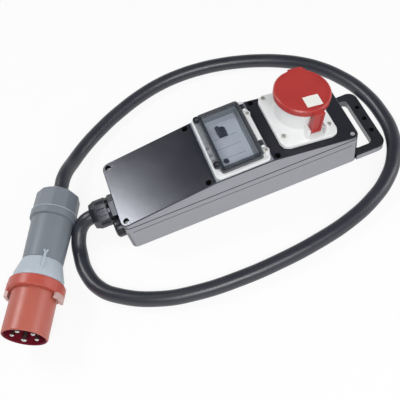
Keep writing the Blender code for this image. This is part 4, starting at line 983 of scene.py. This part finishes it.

# %% [markdown]
# ## The plug's cable nut
# The nut is gripped by hand to clamp the cable: a round foot, a thin pale ring and a ten-sided upper part
# with a sloped shoulder. Each is spun about the plug's axis, the upper part in ten steps only so that its
# flats stay flat.

# %% The plug's cable nut
PLUG_MOUTH = (-0.3519, -0.1441, 0.043283)
PLUG_HEADING = radians(65.14)
PLUG_DROP = atan2(0.0453, 1.0)
PLUG_PLACE = (Matrix.Translation(PLUG_MOUTH) @ Matrix.Rotation(PLUG_HEADING, 4, "Z")
              @ Matrix.Rotation(pi / 2 + PLUG_DROP, 4, "Y"))
FOOT_LOW = 0.1766
FOOT_HIGH = 0.1880
FOOT_BORE = 0.0275
FOOT_RADIUS = 0.0342
FOOT_NECK = 0.0310
FOOT_CHAMFER = 0.0012
FOOT_EDGE = 0.0005
FOOT_PROFILE = (
    (FOOT_NECK, FOOT_LOW), (FOOT_RADIUS, FOOT_LOW + FOOT_CHAMFER), (FOOT_RADIUS, FOOT_HIGH),
    (FOOT_BORE, FOOT_HIGH), (FOOT_BORE, FOOT_LOW),
)
PALE_RING_GAP = 0.0001
PALE_RING_LOW = FOOT_HIGH + PALE_RING_GAP
PALE_RING_THICKNESS = 0.0010
PALE_RING_HIGH = PALE_RING_LOW + PALE_RING_THICKNESS
PALE_RING_RADIUS = 0.0344
PALE_RING_EDGE = 0.0003
NUT_LOW = PALE_RING_HIGH + PALE_RING_GAP
NUT_RADIUS = 0.0333
NUT_SHOULDER = 0.2196
NUT_SHOULDER_RADIUS = 0.0331
NUT_HIGH = 0.2266
NUT_HIGH_RADIUS = 0.0245
NUT_BORE = 0.0270
NUT_BORE_HIGH = 0.2166
NUT_HOLE = 0.0113
NUT_HOLE_LOW = 0.2231
NUT_PROFILE = (
    (NUT_RADIUS, NUT_LOW), (NUT_SHOULDER_RADIUS, NUT_SHOULDER), (NUT_HIGH_RADIUS, NUT_HIGH),
    (NUT_HOLE, NUT_HIGH), (NUT_HOLE, NUT_HOLE_LOW), (NUT_BORE, NUT_BORE_HIGH), (NUT_BORE, NUT_LOW),
)
NUT_SIDES = 10
NUT_TURN = radians(12)
NUT_EDGE = 0.0012
NUT_SHARP = 20

nut = spun("cable_nut", NUT_PROFILE, PLUG_PLACE @ Matrix.Rotation(NUT_TURN, 4, "Z"), NUT_SIDES)
dress(rounded(nut, NUT_EDGE, angle=NUT_SHARP), "plug_nut")
foot = spun("nut_foot", FOOT_PROFILE, PLUG_PLACE)
dress(rounded(foot, FOOT_EDGE), body="case", slot="plug_dark_grey")
pale_ring = spun("nut_pale_ring", band_profile(FOOT_BORE, PALE_RING_RADIUS, PALE_RING_LOW, PALE_RING_HIGH), PLUG_PLACE)
dress(rounded(pale_ring, PALE_RING_EDGE), body="case", slot="plug_light_grey")
print("nut pieces:", nut.name, foot.name, pale_ring.name)

# %% [markdown]
# ## The plug's sleeve and ring
# The sleeve is red outside. Inside, where its pins stand, it is painted dark red as painted shadow. The
# ring's two lugs are paler. The inner faces and the lugs' faces get their own finish, as on the case, and the
# ring is first cut along the foot of its lugs.

# %% The plug's sleeve and ring
SLEEVE_MIDDLE = 0.0299
SLEEVE_EDGE = 0.0005
LUG_LINE = 0.0612
PLUG_INVERSE = PLUG_PLACE.inverted()


def in_sleeve(at, way):
    return (PLUG_INVERSE @ at).xy.length < SLEEVE_MIDDLE


def on_lug(at, way):
    return (PLUG_INVERSE @ at).z < LUG_LINE


sleeve = rounded(merged("plug_sleeve", "sleeve"), SLEEVE_EDGE)
# Inside the sleeve the faces are painted dark red: painted shadow round the pins.
dress(painted(sleeve, "plug_red", ("dark_red", in_sleeve)), "plug_sleeve")
ring = merged("plug_ring", "bayonet")
cut_at(ring, PLUG_PLACE @ Vector((0, 0, LUG_LINE)), PLUG_PLACE.to_3x3() @ Vector((0, 0, 1)))
dress(painted(rounded(ring, SLEEVE_EDGE), "ring_red", ("pale_lug_red", on_lug)), "plug_ring")
# The pin carrier deep in the sleeve gets the same painted shadow.
nodes["pin_carrier"].data.materials[0] = finishes["dark_red"]
print("sleeve and ring in two finishes each")

# %% [markdown]
# ## The lock catch
# A slim catch lies along the front collar and holds the two halves of the plug together. It ends in a
# small fork that a screwdriver lifts. The bar leans to follow the collar's flare; the prongs are slabs
# turned apart at its end.

# %% The lock catch
CATCH_TURN = radians(27)
CATCH_PLACE = PLUG_PLACE @ Matrix.Rotation(CATCH_TURN, 4, "Z")
BAR_FOOT = (-0.0358, 0, 0.0905)
BAR_LEAN = radians(14)
BAR_PLACE = CATCH_PLACE @ Matrix.Translation(BAR_FOOT) @ Matrix.Rotation(BAR_LEAN, 4, "Y")
BAR_LOW = (-0.0012, -0.0019, 0)
BAR_HIGH = (0.0030, 0.0019, 0.0235)
BAR_EDGE = 0.0006
FORK_FOOT = (-0.0312, 0, 0.1128)
FORK_PLACE = CATCH_PLACE @ Matrix.Translation(FORK_FOOT)
PRONG_TURN = radians(26)
PRONG_LOW = (-0.0010, -0.0010, -0.0006)
PRONG_HIGH = (0.0028, 0.0010, 0.0062)
PRONG_EDGE = 0.0004

catch = [slab("lock_catch", BAR_LOW, BAR_HIGH, BAR_EDGE, place=BAR_PLACE)]
for turn in (PRONG_TURN, -PRONG_TURN):
    lean = FORK_PLACE @ Matrix.Rotation(turn, 4, "X")
    catch.append(slab("prong", PRONG_LOW, PRONG_HIGH, PRONG_EDGE, place=lean))
dress(joined(catch, "lock_catch"), "plug_lock_clip")
print("lock catch of", len(catch), "slabs")

# %% [markdown]
# ## The cover's bosses and latch
# Two clear bosses on the cover's ledge stand over the frame's screws, and between them lies the finger
# latch. The bosses' thick edges look darker than the sheet that they stand on. A ring is spun once and
# copied to the other boss, and two low ribs make the latch's grip. All of them swing with the cover.

# %% The cover's bosses and latch
BOSS_MIDDLE = (-0.0265, COVER_POSTS[0], 0.0995)
BOSS_BORE = 0.0026
BOSS_RADIUS = 0.0052
BOSS_DEPTH = 0.0008
BOSS_RISE = 0.0004
BOSS_PROFILE = band_profile(BOSS_BORE, BOSS_RADIUS, -BOSS_DEPTH, BOSS_RISE)
BOSS_STEPS = 32
BOSS_EDGE = 0.0002
BOSS_MOVE = Matrix.Translation((0, COVER_POSTS[1] - COVER_POSTS[0], 0))
LATCH_LOW = (-0.0316, -0.0202, 0.0962)
LATCH_HIGH = (-0.0262, -0.0158, 0.0980)
LATCH_EDGE = 0.0006
LATCH_PITCH = 0.0130
LATCH_MOVE = Matrix.Translation((0, LATCH_PITCH, 0))

# The bosses' edges are painted near black: painted shade for the light that their thick clear walls bend
# away.
painted_refraction("boss_edge", (0.010, 0.012, 0.018), 0.80)
# The latch's ribs are painted mid grey: a painted mix of glints and shade, as the latch shows through the
# ledge.
painted_refraction("latch_clear", (0.19, 0.21, 0.24), 0.50)
boss = rounded(spun("boss_near", BOSS_PROFILE, Matrix.Translation(BOSS_MIDDLE), BOSS_STEPS), BOSS_EDGE)
boss.data.materials.append(finishes["boss_edge"])
grip = slab("latch_near", LATCH_LOW, LATCH_HIGH, LATCH_EDGE)
grip.data.materials.append(finishes["latch_clear"])
trims = [boss, copied(boss, "boss_far", BOSS_MOVE), grip, copied(grip, "latch_far", LATCH_MOVE)]
for trim in trims:
    dress(trim, body="cover", slot="clear_cover")
print("cover trims", [trim.name for trim in trims])

# %% [markdown]
# ## Lines along the case
# The base has a collar round its top, and below it the side steps in and holds a thin line of shadow. A
# dark strip under the collar draws that line along both sides.

# %% Lines along the case
LINE_END = 0.169
LINE_FROM = 0.0558
LINE_TO = 0.0562
LINE_LOW = 0.0442
LINE_HIGH = 0.0452
LINE_EDGE = 0.0001

for name, y0, y1 in (("near", -LINE_TO, -LINE_FROM), ("far", LINE_FROM, LINE_TO)):
    line = slab(f"collar_line_{name}", (-LINE_END, y0, LINE_LOW), (LINE_END, y1, LINE_HIGH), LINE_EDGE)
    dress(line, body="case", slot="gasket_black")
print("collar lines on both sides")

# %% [markdown]
# ## The breaker's face
# Through the window the breaker shows as four narrow modules side by side, with seams between them and a
# raised strip along the handle side. The seams are thin dark strips, and the raised strip is a slab.

# %% The breaker's face
BREAKER_LOW, BREAKER_HIGH = box_of("breaker_body")
MODULES = 4
MODULE_WIDTH = 0.0178
SEAM_ENDS = (-0.0163, 0.0293)
SEAM_HALF = 0.0002
SEAM_RISE = 0.0001
SEAM_EDGE = 0.00005
STRIP_RISE = 0.0009
STRIP_LOW = (0.0205, -0.0385, BREAKER_HIGH.z)
STRIP_HIGH = (0.0285, 0.0308, BREAKER_HIGH.z + STRIP_RISE)
STRIP_CORNER = 0.0008
STRIP_EDGE = 0.0003

seams = []
for number in range(1, MODULES):
    middle = BREAKER_LOW.y + number * MODULE_WIDTH
    seams.append(slab(f"seam_{number}", (SEAM_ENDS[0], middle - SEAM_HALF, BREAKER_HIGH.z - SEAM_RISE),
                      (SEAM_ENDS[1], middle + SEAM_HALF, BREAKER_HIGH.z + SEAM_RISE), SEAM_EDGE))
dress(joined(seams, "module_seams"), body="case", slot="gasket_black")
strip = slab("face_strip", STRIP_LOW, STRIP_HIGH, STRIP_EDGE, STRIP_CORNER)
dress(strip, body="case", slot="breaker_grey")
print("breaker face with", len(seams), "seams and a strip")

# %% [markdown]
# ## The window's liner
# A grey liner closes the gap round the breaker, under the edge of the opening, as painted light over the
# gap's shadow, so that nothing dark shows there. Four walls stand round the opening and a low floor runs
# along three sides of the breaker, each of them a slab.

# %% The window's liner
LINER_LOW = 0.0785
LINER_FLOOR = 0.0800
LINER_TOP = 0.0832
LINER_EDGE = 0.0002
OUTER_X, OUTER_Y = (-0.0216, 0.0346), (-0.0451, 0.0521)
INNER_X, INNER_Y = (-0.0202, 0.0332), (-0.0437, 0.0507)
BESIDE_X, BESIDE_Y = (-0.0167, 0.0297), -0.0397
LINER = (
    (OUTER_X[0], INNER_X[0], *OUTER_Y, LINER_TOP), (INNER_X[1], OUTER_X[1], *OUTER_Y, LINER_TOP),
    (*INNER_X, OUTER_Y[0], INNER_Y[0], LINER_TOP), (*INNER_X, INNER_Y[1], OUTER_Y[1], LINER_TOP),
    (INNER_X[0], BESIDE_X[0], *INNER_Y, LINER_FLOOR), (BESIDE_X[1], INNER_X[1], *INNER_Y, LINER_FLOOR),
    (*BESIDE_X, INNER_Y[0], BESIDE_Y, LINER_FLOOR),
)

sides = [slab("liner", (x0, y0, LINER_LOW), (x1, y1, top), LINER_EDGE) for x0, x1, y0, y1, top in LINER]
liner = joined(sides, "window_liner")
# The liner is grey as painted light, where the gap would otherwise lie in shadow.
liner.data.materials.append(finishes["painted_light_and_shade_grey"])
dress(liner, body="case", slot="breaker_grey")
print("liner of", len(sides), "slabs")

# %% [markdown]
# ## The plug's pieces
# The plug's own pieces, its pin carrier and its pins are gathered in one list.

# %% The plug's pieces
PLUG_PINS = 5

plug_pieces = [bpy.data.objects[name] for name in (
    "sleeve", "bayonet", "front_collar", "rear_body", "cable_nut", "nut_foot", "nut_pale_ring", "lock_catch")]
plug_pieces += [nodes["pin_carrier"]] + [nodes[f"plug_pin_{number}"] for number in range(1, PLUG_PINS + 1)]
